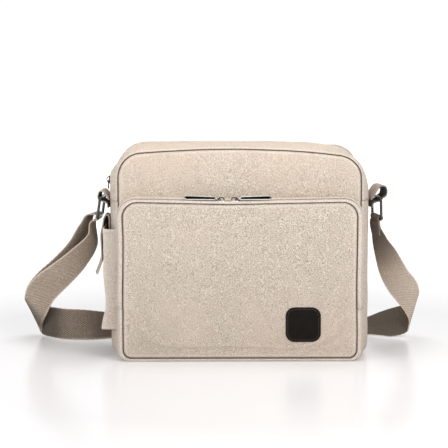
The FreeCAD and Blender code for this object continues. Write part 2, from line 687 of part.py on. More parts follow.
def strap_buckle():
    """A three-bar sliding buckle: two outer bars under the webbing, the centre bar over it."""
    half_width = size("webbing_width") / 2 + size("buckle_side_play")
    half_length = size("buckle_length") / 2
    rail, bar = size("buckle_rail"), size("buckle_bar")
    face, play = size("webbing_thickness") / 2, size("buckle_play")
    low = -face - play - 2 * bar
    centre_level = face + play + size("webbing_thickness") + size("turn_play") + bar
    high = centre_level + bar
    parts = []
    for index, y in enumerate((-half_width - rail, half_width)):
        block = doc.addObject("Part::Box", f"buckle_rail{index}")
        bind(block, Length="buckle_length", Width="buckle_rail")
        block.Height = high - low
        block.Placement = Placement(Vector(-half_length, y, low), Rotation())
        parts.append(block)
    reach = 2 * half_width + rail
    for index, (x, level) in enumerate(((bar - half_length, low + bar), (0, centre_level),
                                        (half_length - bar, low + bar))):
        item = rod(f"buckle_bar{index}", "buckle_bar", "webbing_width + 2 * buckle_side_play + buckle_rail",
                   (x, -reach / 2, level), (0, 1, 0))
        parts.append(item)
    frame = fuse("strap_buckle", *parts)
    frame.Placement = buckle_frame()
    named(frame, "strap_buckle")
    sewn_end(centre_level, bar)


def sewn_end(level, bar):
    """The webbing's end, folded round the buckle's centre bar and sewn back on itself."""
    half, thick = size("webbing_width") / 2, size("webbing_thickness")
    inner, low = bar + size("turn_play"), thick / 2 + size("buckle_play")
    length = size("sewn_tail")
    turn = Part.makeCylinder(inner + thick, 2 * half, Vector(0, -half, level), Vector(0, 1, 0))
    tail = Part.makeBox(length, 2 * half, 2 * thick, Vector(-length, -half, low))
    bore = Part.makeCylinder(inner, 2 * half + 2, Vector(0, -half - 1, level), Vector(0, 1, 0))
    item = doc.addObject("Part::Feature", "strap_return_end")
    item.Shape = turn.fuse(tail).cut(bore).removeSplitter()
    item.Placement = buckle_frame()
    named(item, "strap_return_end")


# ---------------------------------------------------------------- side pocket

def side_pocket():
    """The open pocket on the left gusset: a waisted outer wall that flares out at its hem."""
    wall = size("side_wall")
    mouth, hem = SIDE_POCKET_WALL[0], SIDE_POCKET_WALL[-1]
    outer = [(INSIDE_BODY, mouth[1]), *SIDE_POCKET_WALL, (INSIDE_BODY, hem[1])]
    inner = [(INSIDE_BODY + 2, mouth[1] + 10), (mouth[0] + wall, mouth[1] + 10)]
    inner += [(x + wall, z) for x, z in SIDE_POCKET_WALL[:-1]]
    inner += [(hem[0] + wall + 0.5, hem[1] + wall), (INSIDE_BODY + 2, hem[1] + wall)]
    block = extrusion("side_pocket_block", outer, "2 * side_pocket_half")
    hollow = extrusion("side_pocket_hollow", inner, "2 * (side_pocket_half - side_wall)")
    named(cut("side_pocket", cut("side_pocket_walls", block, hollow), form("body", "0")),
          "side_pocket")
    return block


def closing_tab(pocket_block):
    """The strip that closes the side pocket: sewn foot, hanging end and the two grip tapes.
    Each outline is given from the fold line, where the hanging end starts to lift."""
    x, z = TAB_HINGE
    foot = [(-158.0, 150.0), (-163.2, 150.0), (-163.4, 170.0), ((-165.2, 174.3), (-168.4, 171.4)),
            (-171.2, 160.0), (x + 1.0, z + 0.3), (x - 1.0, z + 0.3), (-173.1, 160.5),
            (-170.3, 172.4), ((-166.2, 178.4), (-161.4, 172.0)), (-158.0, 172.0)]
    named(cut("side_tab_foot", extrusion("side_tab_foot_solid", foot, "closing_tab_width"),
              form("body", "0")), "side_tab_foot")
    hanging = [(x + 1.0, z - 0.3), (x + 1.0, 118.0), (x - 6.0, 99.0), (x - 7.9, 99.6),
               (x - 1.0, 118.4), (x - 1.0, z - 0.3)]
    named(extrusion("side_tab", hanging, "closing_tab_width"), "side_tab")
    hooks = [(x + 1.9, 146.0), (x + 1.9, 117.8), (x - 4.7, 99.8), (x - 5.5, 100.1),
             (x + 1.1, 118.0), (x + 1.1, 146.0)]
    named(extrusion("side_tab_hooks", hooks, "closing_tab_width - 4"), "side_tab_hooks")
    loops = [(-169.0, 146.0), (-171.5, 146.0), (-171.9, 128.0), (-169.0, 128.0)]
    named(cut("side_tab_loops", extrusion("side_tab_loops_solid", loops, "closing_tab_width - 4"),
              pocket_block), "side_tab_loops")


# ---------------------------------------------------------------- the whole bag

def check_and_export():
    """Every object must be computed and every piece valid before any file is written."""
    doc.recompute()
    failed = [item.Name for item in doc.Objects if {"Invalid", "Error"} & set(item.State)]
    broken = [item.Label for item in NODES
              if item.Shape.isNull() or not item.Shape.isValid() or item.Shape.Volume <= 0]
    if failed or broken:
        raise RuntimeError(f"not computed: {failed}; not valid: {broken}")
    os.makedirs("parts", exist_ok=True)
    for item in NODES:
        item.Shape.exportStep(f"parts/{item.Label}.step")
        print(f"{item.Label:26s} {len(item.Shape.Solids)} solid {item.Shape.Volume:12.1f} mm3")


fill_sheet()
canvas_shell()
main_zip()
inner_parts()
front_pocket()
pocket_lining()
leather_badge()
sliders_and_pulls()
strap_tab("strap_tab_left", -1, LEFT_RING, LEFT_RING_YAW, (168.9, 206.0), 176.5)
strap_tab("strap_tab_right", 1, RIGHT_RING, RIGHT_RING_YAW, (174.5, 208.5), 181.0)
strap_ring("ring_left", LEFT_RING, LEFT_RING_YAW, LEFT_RING_TILT)
strap_ring("ring_right", RIGHT_RING, RIGHT_RING_YAW, RIGHT_RING_TILT)
webbing_loop("strap_turn_left", LEFT_RING, LEFT_RING_YAW, LEFT_RING_TILT,
             [(150, 6.0, 1.9, 3.5), (165, 4.5, -3.5, -1.9)])
webbing_loop("strap_end_right", RIGHT_RING, RIGHT_RING_YAW, RIGHT_RING_TILT,
             [(90, 22.0, -1.65, 1.65)])
strap()
strap_buckle()
closing_tab(side_pocket())
check_and_export()
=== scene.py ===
"""A canvas messenger bag with its webbing strap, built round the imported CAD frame."""
import json
import math

import bpy
import numpy as np
from mathutils import Matrix, Vector, noise


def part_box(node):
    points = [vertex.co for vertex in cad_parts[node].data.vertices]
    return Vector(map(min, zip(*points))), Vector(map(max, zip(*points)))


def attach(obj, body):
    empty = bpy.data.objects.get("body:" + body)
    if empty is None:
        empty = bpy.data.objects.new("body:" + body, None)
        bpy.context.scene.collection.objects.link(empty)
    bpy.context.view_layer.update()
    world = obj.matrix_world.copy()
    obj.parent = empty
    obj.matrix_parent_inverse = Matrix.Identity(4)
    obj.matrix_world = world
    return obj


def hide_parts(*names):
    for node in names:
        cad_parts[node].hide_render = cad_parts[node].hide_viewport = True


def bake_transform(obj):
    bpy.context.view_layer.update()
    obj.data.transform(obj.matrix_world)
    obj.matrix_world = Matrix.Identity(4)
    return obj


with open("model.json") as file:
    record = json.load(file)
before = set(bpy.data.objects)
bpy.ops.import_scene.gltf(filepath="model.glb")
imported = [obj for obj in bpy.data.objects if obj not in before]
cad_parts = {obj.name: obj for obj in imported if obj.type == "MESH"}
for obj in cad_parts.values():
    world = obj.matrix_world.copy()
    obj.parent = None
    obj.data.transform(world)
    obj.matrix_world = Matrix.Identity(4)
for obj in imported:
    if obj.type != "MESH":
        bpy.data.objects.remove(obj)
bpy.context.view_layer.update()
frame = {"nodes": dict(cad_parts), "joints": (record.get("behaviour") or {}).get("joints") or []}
NODES = frame["nodes"]
MM = 0.001
BAG = "bag"

# ------------------------------------------------------------------ the bag's driving sizes, metres

GUSSET_LOW, GUSSET_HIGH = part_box("body_gusset")
PANEL_LOW, PANEL_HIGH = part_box("front_panel")
POCKET_LOW, POCKET_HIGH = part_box("pocket_panel")
STRIP_LOW, STRIP_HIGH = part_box("zip_gusset_front")
PANEL_INSET = 1.65 * MM                       # how far the CAD panels lie inside the gusset's surface
HALF_DEPTH = -PANEL_LOW.y
MIDDLE_HALF = GUSSET_HIGH.x
EDGE_HALF = PANEL_HIGH.x + PANEL_INSET
MIDDLE_TOP = STRIP_HIGH.z
FRONT_TOP = PANEL_HIGH.z + PANEL_INSET
BACK_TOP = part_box("back_panel")[1].z + PANEL_INSET
SEAM_HEIGHT = GUSSET_HIGH.z                   # where the gusset ends and the zip strips begin
POCKET_FRONT = -POCKET_LOW.y
WELT_END, CHAIN_END = 65.5 * MM, 59.5 * MM
POCKET_HALF = POCKET_HIGH.x + PANEL_INSET     # at its front edge
POCKET_TOP = POCKET_HIGH.z + PANEL_INSET
POCKET_ZIP_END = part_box("pocket_welt")[0].z
FRONT_INSET, WELT_INSET = 3.9 * MM, 2.2 * MM
SAG, SAG_PLACE = 2.7 * MM, -15 * MM
CHAIN_HALF = 3.2 * MM
CLOTH = 1.1 * MM


# ------------------------------------------------------------------ small helpers

def smooth(low, high, value):
    """A smooth step from 0 at low to 1 at high."""
    share = np.clip((np.asarray(value, float) - low) / (high - low), 0, 1)
    return share * share * (3 - 2 * share)


def ripple(points, scale, seed=0.0):
    """Gentle noise in -1..1 at each point; scale is the size of one bump in metres."""
    flat = np.asarray(points).reshape(-1, 3) / scale
    values = [noise.noise(Vector((p[0] + seed, p[1] - seed, p[2] + 2 * seed))) for p in flat]
    return np.array(values).reshape(np.shape(points)[:-1])


def spaced(start, end, fine, coarse, reach):
    """Places from start to end: fine steps within reach of both ends, coarse ones between."""
    length = abs(end - start)
    near = np.arange(0, reach - 0.4 * fine, fine)
    middle = np.linspace(reach, length - reach, max(2, round((length - 2 * reach) / coarse) + 1))
    places = np.concatenate([near, middle, length - near[::-1]])
    return start + math.copysign(1, end - start) * places


def lengths(points):
    """Running length along a polyline."""
    steps = np.linalg.norm(np.diff(points, axis=0), axis=1)
    return np.concatenate([[0], np.cumsum(steps)])


def along(places, run, values):
    """The values, one row for each running length in run, read off at other running lengths."""
    return np.stack([np.interp(places, run, values[:, axis]) for axis in range(3)], axis=-1)


def unit(vectors):
    """Each row at length 1."""
    return vectors / np.linalg.norm(vectors, axis=1, keepdims=True)


def at_depth(outline, depth):
    """A flat outline of (x, z) stood up at a depth."""
    return np.stack([outline[:, 0], np.full(len(outline), depth), outline[:, 1]], axis=1)


def grid_normals(grid):
    """The side that grid_faces calls the outside, at each point."""
    normal = np.cross(np.gradient(grid, axis=1), np.gradient(grid, axis=0))
    return normal / np.maximum(np.linalg.norm(normal, axis=2, keepdims=True), 1e-9)


def mesh_piece(name, points, faces, uvs=None, smooth_shaded=True, **attributes):
    """A mesh object from points and faces; uvs are per point, attributes are float per point."""
    mesh = bpy.data.meshes.new(name)
    mesh.from_pydata(np.asarray(points, float).tolist(), [], [list(face) for face in faces])
    if uvs is not None:
        layer = mesh.uv_layers.new(name="UVMap")
        corner_points = np.empty(len(mesh.loops), int)
        mesh.loops.foreach_get("vertex_index", corner_points)
        layer.data.foreach_set("uv", np.asarray(uvs, float)[corner_points].ravel())
    for key, values in attributes.items():
        layer = mesh.attributes.new(key, "FLOAT", "POINT")
        layer.data.foreach_set("value", np.asarray(values, float).ravel())
    mesh.shade_smooth() if smooth_shaded else mesh.shade_flat()
    obj = bpy.data.objects.new(name, mesh)
    bpy.context.scene.collection.objects.link(obj)
    return obj


def grid_faces(rows, columns, closed=False, first=0):
    """Quads of a grid whose points are stored row by row; closed joins the last column to the first."""
    faces = []
    for row in range(rows - 1):
        for column in range(columns if closed else columns - 1):
            after = (column + 1) % columns
            low, high = first + row * columns, first + (row + 1) * columns
            faces.append((low + column, low + after, high + after, high + column))
    return faces


def grid_piece(name, grid, closed=False, shade=None, wear=None, uv=None):
    """A sheet through a grid of points, with its weave laid along the grid in metres."""
    rows, columns = grid.shape[:2]
    if uv is None:
        run = lengths(grid[rows // 2])
        rise = lengths(grid[:, columns // 2])
        uv = np.stack(np.meshgrid(run, rise), axis=-1)
    blank = np.zeros((rows, columns))
    return mesh_piece(name, grid.reshape(-1, 3), grid_faces(rows, columns, closed),
                      uv.reshape(-1, 2), shade=blank if shade is None else shade,
                      wear=blank if wear is None else wear)


def cloth(obj, material, replaced, thickness=CLOTH):
    """Finishes a sheet of cloth: material, thickness, the CAD nodes it stands for. Its flat cut is
    its UV map; a strip that closes on itself lays one face back over the rest, so its area is held
    to that of its rectangle."""
    obj.data.materials.append(material)
    solid = obj.modifiers.new("thickness", "SOLIDIFY")
    solid.thickness = thickness
    solid.offset = -1.0
    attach(obj, BAG)
    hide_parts(*replaced)
    return obj


def hard(obj, material, body=BAG, replaced=()):
    """Finishes a piece that isn't cloth."""
    obj.data.materials.append(material)
    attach(obj, body)
    if replaced:
        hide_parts(*replaced)
    return obj


# ------------------------------------------------------------------ materials

class Nodes:
    """A material's node tree, with short calls for adding and joining nodes."""

    def __init__(self, name):
        self.material = bpy.data.materials.new(name)
        self.material.use_nodes = True
        self.tree = self.material.node_tree
        self.shader = self.tree.nodes["Principled BSDF"]

    def add(self, kind, **settings):
        node = self.tree.nodes.new(kind)
        for key, value in settings.items():
            setattr(node, key, value)
        return node

    def join(self, source, target):
        self.tree.links.new(source, target)

    def maths(self, operation, first, second):
        node = self.add("ShaderNodeMath", operation=operation)
        for socket, value in zip(node.inputs, (first, second)):
            if isinstance(value, (int, float)):
                socket.default_value = value
            else:
                self.join(value, socket)
        return node.outputs[0]

    def noise(self, scale, detail=3.0, roughness=0.55, place=None):
        node = self.add("ShaderNodeTexNoise")
        node.inputs["Scale"].default_value = scale
        node.inputs["Detail"].default_value = detail
        node.inputs["Roughness"].default_value = roughness
        self.join(place or self.place(), node.inputs["Vector"])
        return node.outputs["Fac"]

    def place(self):
        return self.add("ShaderNodeTexCoord").outputs["Object"]

    def weave_place(self, turn=0.0):
        mapping = self.add("ShaderNodeMapping")
        mapping.inputs["Rotation"].default_value = (0, 0, math.radians(turn))
        self.join(self.add("ShaderNodeTexCoord").outputs["UV"], mapping.inputs["Vector"])
        return mapping.outputs["Vector"]

    def bands(self, pitch, axis, place, distortion=0.0):
        """Smooth bands in 0..1 whose pitch is in metres."""
        node = self.add("ShaderNodeTexWave", wave_type="BANDS", bands_direction=axis)
        node.inputs["Scale"].default_value = math.pi / (10 * pitch)
        node.inputs["Distortion"].default_value = distortion
        node.inputs["Detail"].default_value = 1
        self.join(place, node.inputs["Vector"])
        return node.outputs["Fac"]

    def ranged(self, value, end, low, high):
        node = self.add("ShaderNodeMapRange")
        node.inputs[end + " Min"].default_value = low
        node.inputs[end + " Max"].default_value = high
        self.join(value, node.inputs["Value"])
        return node.outputs["Result"]

    def between(self, value, low, high):
        """The value moved from 0..1 to low..high."""
        return self.ranged(value, "To", low, high)

    def stretched(self, value, low, high):
        """The value's low..high opened to 0..1."""
        return self.ranged(value, "From", low, high)

    def mottle(self, scale, detail, roughness, place=None):
        """Noise with its contrast opened up."""
        return self.stretched(self.noise(scale, detail, roughness, place), 0.3, 0.7)

    def mix(self, share, first, second):
        node = self.add("ShaderNodeMix", data_type="RGBA")
        for socket, value in ((node.inputs[0], share), (node.inputs[6], first), (node.inputs[7], second)):
            if isinstance(value, (int, float)):
                socket.default_value = value
            elif isinstance(value, tuple):
                socket.default_value = (*value, 1)
            else:
                self.join(value, socket)
        return node.outputs[2]

    def attribute(self, name):
        return self.add("ShaderNodeAttribute", attribute_name=name).outputs["Fac"]

    def bump(self, height, strength, distance, below=None):
        node = self.add("ShaderNodeBump")
        node.inputs["Strength"].default_value = strength
        node.inputs["Distance"].default_value = distance
        self.join(height, node.inputs["Height"])
        if below is not None:
            self.join(below, node.inputs["Normal"])
        return node.outputs["Normal"]

    def set(self, **values):
        for key, value in values.items():
            self.shader.inputs[key.replace("_", " ")].default_value = value


def toned(colour, factor):
    """The colour made darker or lighter."""
    return tuple(min(1.0, factor * channel) for channel in colour)


def canvas(name, colour, shade_colour, worn_and_lit_colour, pitch=1.15 * MM):
    """Washed cotton canvas: plain weave, fine mottled grain, edges lightened partly by wear and partly as
    painted highlight, painted shade in the seams, painted shade darkening the lower part and a painted
    highlight lightening the top.
    """
    nodes = Nodes(name)
    place = nodes.place()
    grain = nodes.mottle(930, 1, 0.5, place)
    flecks = nodes.mottle(900, 2, 0.6, place)
    patches = nodes.mottle(75, 3, 0.6, place)
    clouds = nodes.mottle(12, 3, 0.5, place)
    tone = nodes.mix(grain, toned(colour, 0.14), toned(colour, 1.86))
    tone = nodes.mix(nodes.between(flecks, 0.0, 0.4), tone, toned(colour, 1.32))
    split = nodes.add("ShaderNodeSeparateXYZ")
    nodes.join(place, split.inputs["Vector"])
    # Painted shade: darker towards the bottom of the bag, where less light falls.
    foot = nodes.stretched(split.outputs["Z"], 0.16, -0.01)
    tone = nodes.mix(nodes.between(foot, 0.0, 0.38), tone, toned(colour, 0.55))
    # Painted highlight: lighter towards the top of the bag, where the light falls from above.
    crown = nodes.stretched(split.outputs["Z"], 0.195, 0.262)
    tone = nodes.mix(nodes.between(crown, 0.0, 0.42), tone, toned(colour, 1.45))
    tone = nodes.mix(nodes.between(patches, 0.0, 0.24), tone, toned(colour, 0.72))
    tone = nodes.mix(nodes.between(clouds, 0.0, 0.3), tone, toned(colour, 1.16))
    weave_place = nodes.weave_place()
    warp = nodes.bands(pitch, "X", weave_place, 0.8)
    weft = nodes.bands(pitch * 1.08, "Y", weave_place, 0.8)
    weave = nodes.maths("MULTIPLY", warp, weft)
    tone = nodes.mix(nodes.between(weave, 0.2, 0.0), tone, toned(colour, 0.6))
    # Edges lightened, partly wear and partly painted highlight where the turned cloth catches the light.
    tone = nodes.mix(nodes.maths("MULTIPLY", nodes.attribute("wear"), nodes.between(grain, 0.55, 1.0)),
                     tone, worn_and_lit_colour)
    tone = nodes.mix(nodes.attribute("shade"), tone, shade_colour)
    nodes.join(tone, nodes.shader.inputs["Base Color"])
    nodes.join(nodes.between(patches, 0.84, 0.95), nodes.shader.inputs["Roughness"])
    threads = nodes.bump(weave, 0.5, 0.3 * MM)
    fuzz = nodes.bump(grain, 0.7, 0.8 * MM, threads)
    nodes.join(fuzz, nodes.shader.inputs["Normal"])
    nodes.set(Sheen_Weight=0.12, Sheen_Roughness=0.6, Specular_IOR_Level=0.15)
    return nodes.material


def webbing(name, colour, dark, light, pitch=2.3 * MM):
    """Thick twill webbing: raised slanting ribs, flecks of light and dark thread."""
    nodes = Nodes(name)
    place = nodes.place()
    ribs = nodes.bands(pitch, "X", nodes.weave_place(turn=34), 1.5)
    weft = nodes.bands(pitch * 0.75, "Y", nodes.weave_place(), 2.0)
    flecks = nodes.mottle(620, 2, 0.6, place)
    clouds = nodes.mottle(34, 3, 0.5, place)
    tone = nodes.mix(nodes.between(ribs, 0.0, 1.0), dark, colour)
    tone = nodes.mix(nodes.between(flecks, 0.45, 0.0), tone, toned(dark, 0.6))
    tone = nodes.mix(nodes.between(nodes.stretched(flecks, 0.5, 1.0), 0.0, 0.5), tone, light)
    tone = nodes.mix(nodes.between(weft, 0.5, 0.0), tone, dark)
    tone = nodes.mix(nodes.between(clouds, 0.0, 0.25), tone, dark)
    # Edges are lightened, partly wear and partly painted highlight, and a whole strap may be lightened as
    # painted light; the shade attribute darkens as painted shade, except where it carries woven stripes.
    tone = nodes.mix(nodes.attribute("wear"), tone, light)
    tone = nodes.mix(nodes.attribute("shade"), tone, toned(dark, 0.22))
    nodes.join(tone, nodes.shader.inputs["Base Color"])
    nodes.join(nodes.between(flecks, 0.75, 0.95), nodes.shader.inputs["Roughness"])
    height = nodes.maths("ADD", nodes.maths("MULTIPLY", ribs, 0.6), nodes.maths("MULTIPLY", weft, 0.4))
    nodes.join(nodes.bump(height, 0.8, 0.5 * MM), nodes.shader.inputs["Normal"])
    nodes.set(Sheen_Weight=0.1, Sheen_Roughness=0.5, Specular_IOR_Level=0.15)
    return nodes.material


def metal(name, colour, roughness):
    """Dark nickel plate with fine handling marks."""
    nodes = Nodes(name)
    place = nodes.place()
    marks = nodes.mottle(900, 4, 0.7, place)
    tarnish = nodes.mottle(150, 3, 0.5, place)
    tone = nodes.mix(nodes.between(tarnish, 0.0, 0.5), colour, toned(colour, 0.6))
    # Marked rims and noses are lightened as painted highlight; marked recesses are darkened as painted
    # shade.
    tone = nodes.mix(nodes.attribute("wear"), tone, (0.78, 0.76, 0.74))
    tone = nodes.mix(nodes.attribute("shade"), tone, (0.012, 0.011, 0.011))
    nodes.join(tone, nodes.shader.inputs["Base Color"])
    nodes.join(nodes.between(marks, roughness * 0.75, roughness * 1.35), nodes.shader.inputs["Roughness"])
    nodes.join(nodes.bump(marks, 0.08, 0.05 * MM), nodes.shader.inputs["Normal"])
    nodes.set(Metallic=1.0)
    return nodes.material


def leather(name, colour, light):
    """Near-black leather with a pebbled grain and slightly polished tops."""
    nodes = Nodes(name)
    place = nodes.place()
    cells = nodes.add("ShaderNodeTexVoronoi", feature="DISTANCE_TO_EDGE")
    cells.inputs["Scale"].default_value = 950
    nodes.join(place, cells.inputs["Vector"])
    grain = nodes.stretched(cells.outputs["Distance"], 0.0, 0.35)
    patches = nodes.mottle(120, 3, 0.6, place)
    tone = nodes.mix(nodes.between(patches, 0.0, 0.5), colour, light)
    tone = nodes.mix(nodes.attribute("wear"), tone, toned(light, 1.6))
    nodes.join(tone, nodes.shader.inputs["Base Color"])
    nodes.join(nodes.between(patches, 0.42, 0.62), nodes.shader.inputs["Roughness"])
    nodes.join(nodes.bump(grain, 0.4, 0.2 * MM), nodes.shader.inputs["Normal"])
    nodes.set(Specular_IOR_Level=0.1)
    return nodes.material


def plain(name, colour, roughness, scale=400, depth=0.1 * MM, spread=0.15):
    """A quiet finish for hidden parts and thread: fine grain in colour, gloss and relief."""
    nodes = Nodes(name)
    grain = nodes.mottle(scale, 3, 0.6)
    tone = nodes.mix(nodes.between(grain, 0.0, 1.0), toned(colour, 1 - spread), toned(colour, 1 + spread))
    nodes.join(tone, nodes.shader.inputs["Base Color"])
    nodes.join(nodes.between(grain, roughness * 0.9, min(1.0, roughness * 1.1)),
               nodes.shader.inputs["Roughness"])
    nodes.join(nodes.bump(grain, 0.3, depth), nodes.shader.inputs["Normal"])
    return nodes.material


CANVAS = canvas("canvas", (0.735, 0.570, 0.465), (0.028, 0.018, 0.013), (0.88, 0.80, 0.72))
ZIP_TAPE = plain("zip_tape", (0.42, 0.34, 0.29), 0.85, 900)
ZIP_COIL = plain("zip_coil", (0.50, 0.42, 0.38), 0.5, 700)
WEBBING = webbing("webbing", (0.87, 0.71, 0.575), (0.24, 0.187, 0.143), (0.98, 0.84, 0.70))
HARDWARE = metal("hardware", (0.095, 0.092, 0.09), 0.2)
LEATHER = leather("leather", (0.006, 0.004, 0.003), (0.014, 0.010, 0.008))
THREAD = plain("thread", (0.70, 0.62, 0.53), 0.8, 1500, 0.05 * MM)
LINING = plain("lining_cloth", (0.30, 0.245, 0.19), 0.85, 700)
FOAM = plain("foam_sheet", (0.55, 0.53, 0.48), 0.95, 900)
BOARD = plain("stiff_board", (0.03, 0.03, 0.03), 0.7, 300)
BADGE_THREAD = plain("badge_thread", (0.05, 0.045, 0.04), 0.8, 1500, 0.05 * MM)
TAB_WEB = webbing("tab_webbing", (0.74, 0.63, 0.53), (0.42, 0.345, 0.275), (0.90, 0.81, 0.70), 1.5 * MM)
HOOK_TAPE_AND_SHADE = plain("hook_tape_and_shade", (0.035, 0.03, 0.026), 0.9, 1800, 0.6 * MM)


# ------------------------------------------------------------------ outlines of the two boxes

FLOOR_GAP = 0.4 * MM
SIDE_HIGH, CORNER_HIGH, LID = 9, 14, 72       # steps along each stretch of an outline
SIDE_LOW, CORNER_LOW, BASE = 44, 8, 78


class Section:
    """A rounded upright outline at one depth; every length is in metres."""

    def __init__(self, half, top, round_top, round_bottom, crown=0.0, sag=0.0, foot=0.0):
        self.half, self.top = half, top
        self.round_top, self.round_bottom = round_top, round_bottom
        self.crown, self.sag, self.foot = crown, sag, foot

    def lid(self, x, flat):
        """Height of the top edge: crowned towards the corners, sagging at one place."""
        run = np.where(x < SAG_PLACE, flat + SAG_PLACE, flat - SAG_PLACE)
        dip = 1 - np.clip(np.abs(x - SAG_PLACE) / run, 0, 1)
        return self.top - self.crown * (x / flat) ** 2 - self.sag * dip

    def arc(self, x, z, radius, start, steps):
        angles = np.radians(np.linspace(start, start + 90, steps + 1))
        return np.stack([x + radius * np.cos(angles), z + radius * np.sin(angles)], axis=1)

    def upper(self, inset, split):
        """From the split on the right, up and over the top, to the split on the left."""
        side, corner, lid = SIDE_HIGH, CORNER_HIGH, LID
        half, radius = self.half - inset, self.round_top - inset
        flat = half - radius
        top = self.top - inset
        shoulder = top - self.crown - radius
        across = np.linspace(flat, -flat, lid + 1)[1:-1]
        over = np.stack([across, self.lid(across, flat) - inset], axis=1)
        rise = np.linspace(split, shoulder, side + 1)[:-1]
        right = np.stack([np.full(side, half), rise], axis=1)
        return np.concatenate([right, self.arc(flat, shoulder, radius, 0, corner), over,
                               self.arc(-flat, shoulder, radius, 90, corner),
                               (right * (-1, 1))[::-1]])

    def lower(self, inset, split):
        """From the split on the left, down and under the base, to the split on the right."""
        side, corner, base = SIDE_LOW, CORNER_LOW, BASE
        half, radius = self.half - inset, self.round_bottom - inset
        floor = FLOOR_GAP + inset + self.foot
        flat = half - radius
        drop = np.linspace(split, floor + radius, side + 1)[:-1]
        left = np.stack([np.full(side, -half), drop], axis=1)
        across = np.linspace(-flat, flat, base + 1)[1:-1]
        under = np.stack([across, np.full(base - 1, floor)], axis=1)
        return np.concatenate([left, self.arc(-flat, floor + radius, radius, 180, corner), under,
                               self.arc(flat, floor + radius, radius, 270, corner),
                               (left * (-1, 1))[::-1]])

    def whole(self, inset, split):
        return np.concatenate([self.upper(inset, split), self.lower(inset, split)[1:-1]])


def body_section(depth):
    """The main compartment at a depth: widest in the middle, its front edge crowned."""
    share = min(1.0, (depth / HALF_DEPTH) ** 2)
    edge_top = FRONT_TOP if depth < 0 else BACK_TOP
    crown = (5.0 if depth < 0 else 1.5) * MM * share + 0.4 * MM
    return Section(MIDDLE_HALF + (EDGE_HALF - MIDDLE_HALF) * share,
                   MIDDLE_TOP + (edge_top - MIDDLE_TOP) * share,
                   (45 - 14 * share) * MM, 13 * MM, crown)


def pocket_section(depth):
    """The front pocket at a depth (negative): bevelled, then sloping, then straight."""
    depths = [-POCKET_FRONT, -WELT_END, -CHAIN_END, -HALF_DEPTH]
    step = np.interp(depth, depths, [0.0, FRONT_INSET - WELT_INSET, FRONT_INSET, FRONT_INSET + 1 * MM])
    return Section(POCKET_HALF + step, POCKET_TOP + step, 21.1 * MM + step, 12.5 * MM, sag=SAG)


FACE_BORDER = 3.6 * MM


def pocket_face_section(depth):
    """The pocket's face: its seam lies inside the edge, so that the strip's fold frames it."""
    edge = pocket_section(depth)
    return Section(edge.half - FACE_BORDER, edge.top - 0.6 * MM, edge.round_top - FACE_BORDER + 1.5 * MM,
                   edge.round_bottom - FACE_BORDER + 1.5 * MM, sag=SAG, foot=FACE_BORDER - 0.3 * MM)


def settle(points):
    """The slight unevenness of a soft bag, shared by everything that is sewn to it."""
    points = np.array(points, float)
    x, y, z = points[..., 0], points[..., 1], points[..., 2]
    grip = smooth(5 * MM, 60 * MM, z)
    wander = np.stack([ripple(points, 120 * MM, seed) for seed in (3.1, 7.7, 12.3)], axis=-1)
    quiver = np.stack([ripple(points, 34 * MM, seed) for seed in (5.9, 9.2, 1.4)], axis=-1)
    hardware = smooth(0.120, 0.150, np.abs(x)) * smooth(0.15, 0.18, z) * (1 - smooth(0.225, 0.245, z))
    zip_top = smooth(-0.076, -0.068, y) * (1 - smooth(-0.056, -0.045, y)) * smooth(0.182, 0.190, z)
    calm = (1 - hardware) * (1 - zip_top)
    shift = (wander * (1.3, 0.9, 1.6) + quiver * (0.35, 0.3, 0.45)) * MM
    lean = np.stack([np.zeros_like(x), np.zeros_like(x), -0.008 * x * smooth(0.03, 0.18, z) * calm], axis=-1)
    return points + shift * (grip * calm)[..., None] + lean + slump(x, y, z)


def slump(x, y, z):
    """How the tall end of the empty main compartment has leaned in: more on the right."""
    between_seams = np.clip(1 - (y / HALF_DEPTH) ** 2, 0, 1) * smooth(0.03, 0.13, np.abs(x))
    left = 4.5 * MM * smooth(0.228, 0.242, z) * (1 - 0.8 * smooth(0.246, 0.262, z)) * (x < 0)
    right = -5.5 * MM * smooth(0.205, 0.236, z) * (x > 0)
    droop = -5.5 * MM * smooth(0.075, 0.150, x) * smooth(0.230, 0.262, z)
    return np.stack([(left + right) * between_seams, np.zeros_like(x),
                     droop * (0.25 + 0.75 * between_seams)], axis=-1)


def sewn_strip(section, line, split, depths, edge_roll=1.3 * MM, puff=0.0):
    """A strip of cloth round an outline, with both long edges turned in at their seams."""
    first, last = depths[0], depths[-1]
    width = abs(last - first)
    rows, shade, wear = [], [], []
    for depth in depths:
        edge = min(abs(depth - first), abs(depth - last))
        turn = 1 - float(smooth(0, 2.4 * MM, edge))
        swell = puff * math.sin(math.pi * abs(depth - first) / width) ** 0.8
        inset = edge_roll * turn - swell
        outline = line(section(depth), inset, split)
        rows.append(at_depth(outline, depth))
        # Painted shade in the seam line; beside it a lighter band, partly wear and partly painted highlight
        # on the turned edge.
        shade.append(np.full(len(outline), math.exp(-(edge / (0.55 * MM)) ** 2)))
        wear.append(np.full(len(outline), math.exp(-((edge - 2.6 * MM) / (1.2 * MM)) ** 2)))
    grid = np.array(rows)
    return grid, np.array(shade), np.array(wear)


def pucker(grid, shade, amount=0.35 * MM, scale=11 * MM):
    """Small waves in the cloth, along its own normals and still at its edges."""
    normal = grid_normals(grid)
    waves = ripple(grid, scale, 2.5) * 0.6 + ripple(grid, scale * 3.2, 4.1)
    return grid + normal * (waves * (1 - shade) * amount)[..., None]


# ------------------------------------------------------------------ flat panels inside an outline

def coons(bottom, right, top, left):
    """A patch between four edges: bottom and top run left to right, left and right run up."""
    columns, rows = len(bottom), len(left)
    s = np.linspace(0, 1, columns)[None, :, None]
    t = np.linspace(0, 1, rows)[:, None, None]
    ruled = (1 - t) * bottom[None] + t * top[None] + (1 - s) * left[:, None] + s * right[:, None]
    corners = ((1 - s) * (1 - t) * bottom[0] + s * (1 - t) * bottom[-1]
               + (1 - s) * t * top[0] + s * t * top[-1])
    return ruled - corners


PANEL_RINGS = [value * MM for value in (0.0, 0.5, 1.0, 1.6, 2.3, 3.2, 4.4, 6.0)]


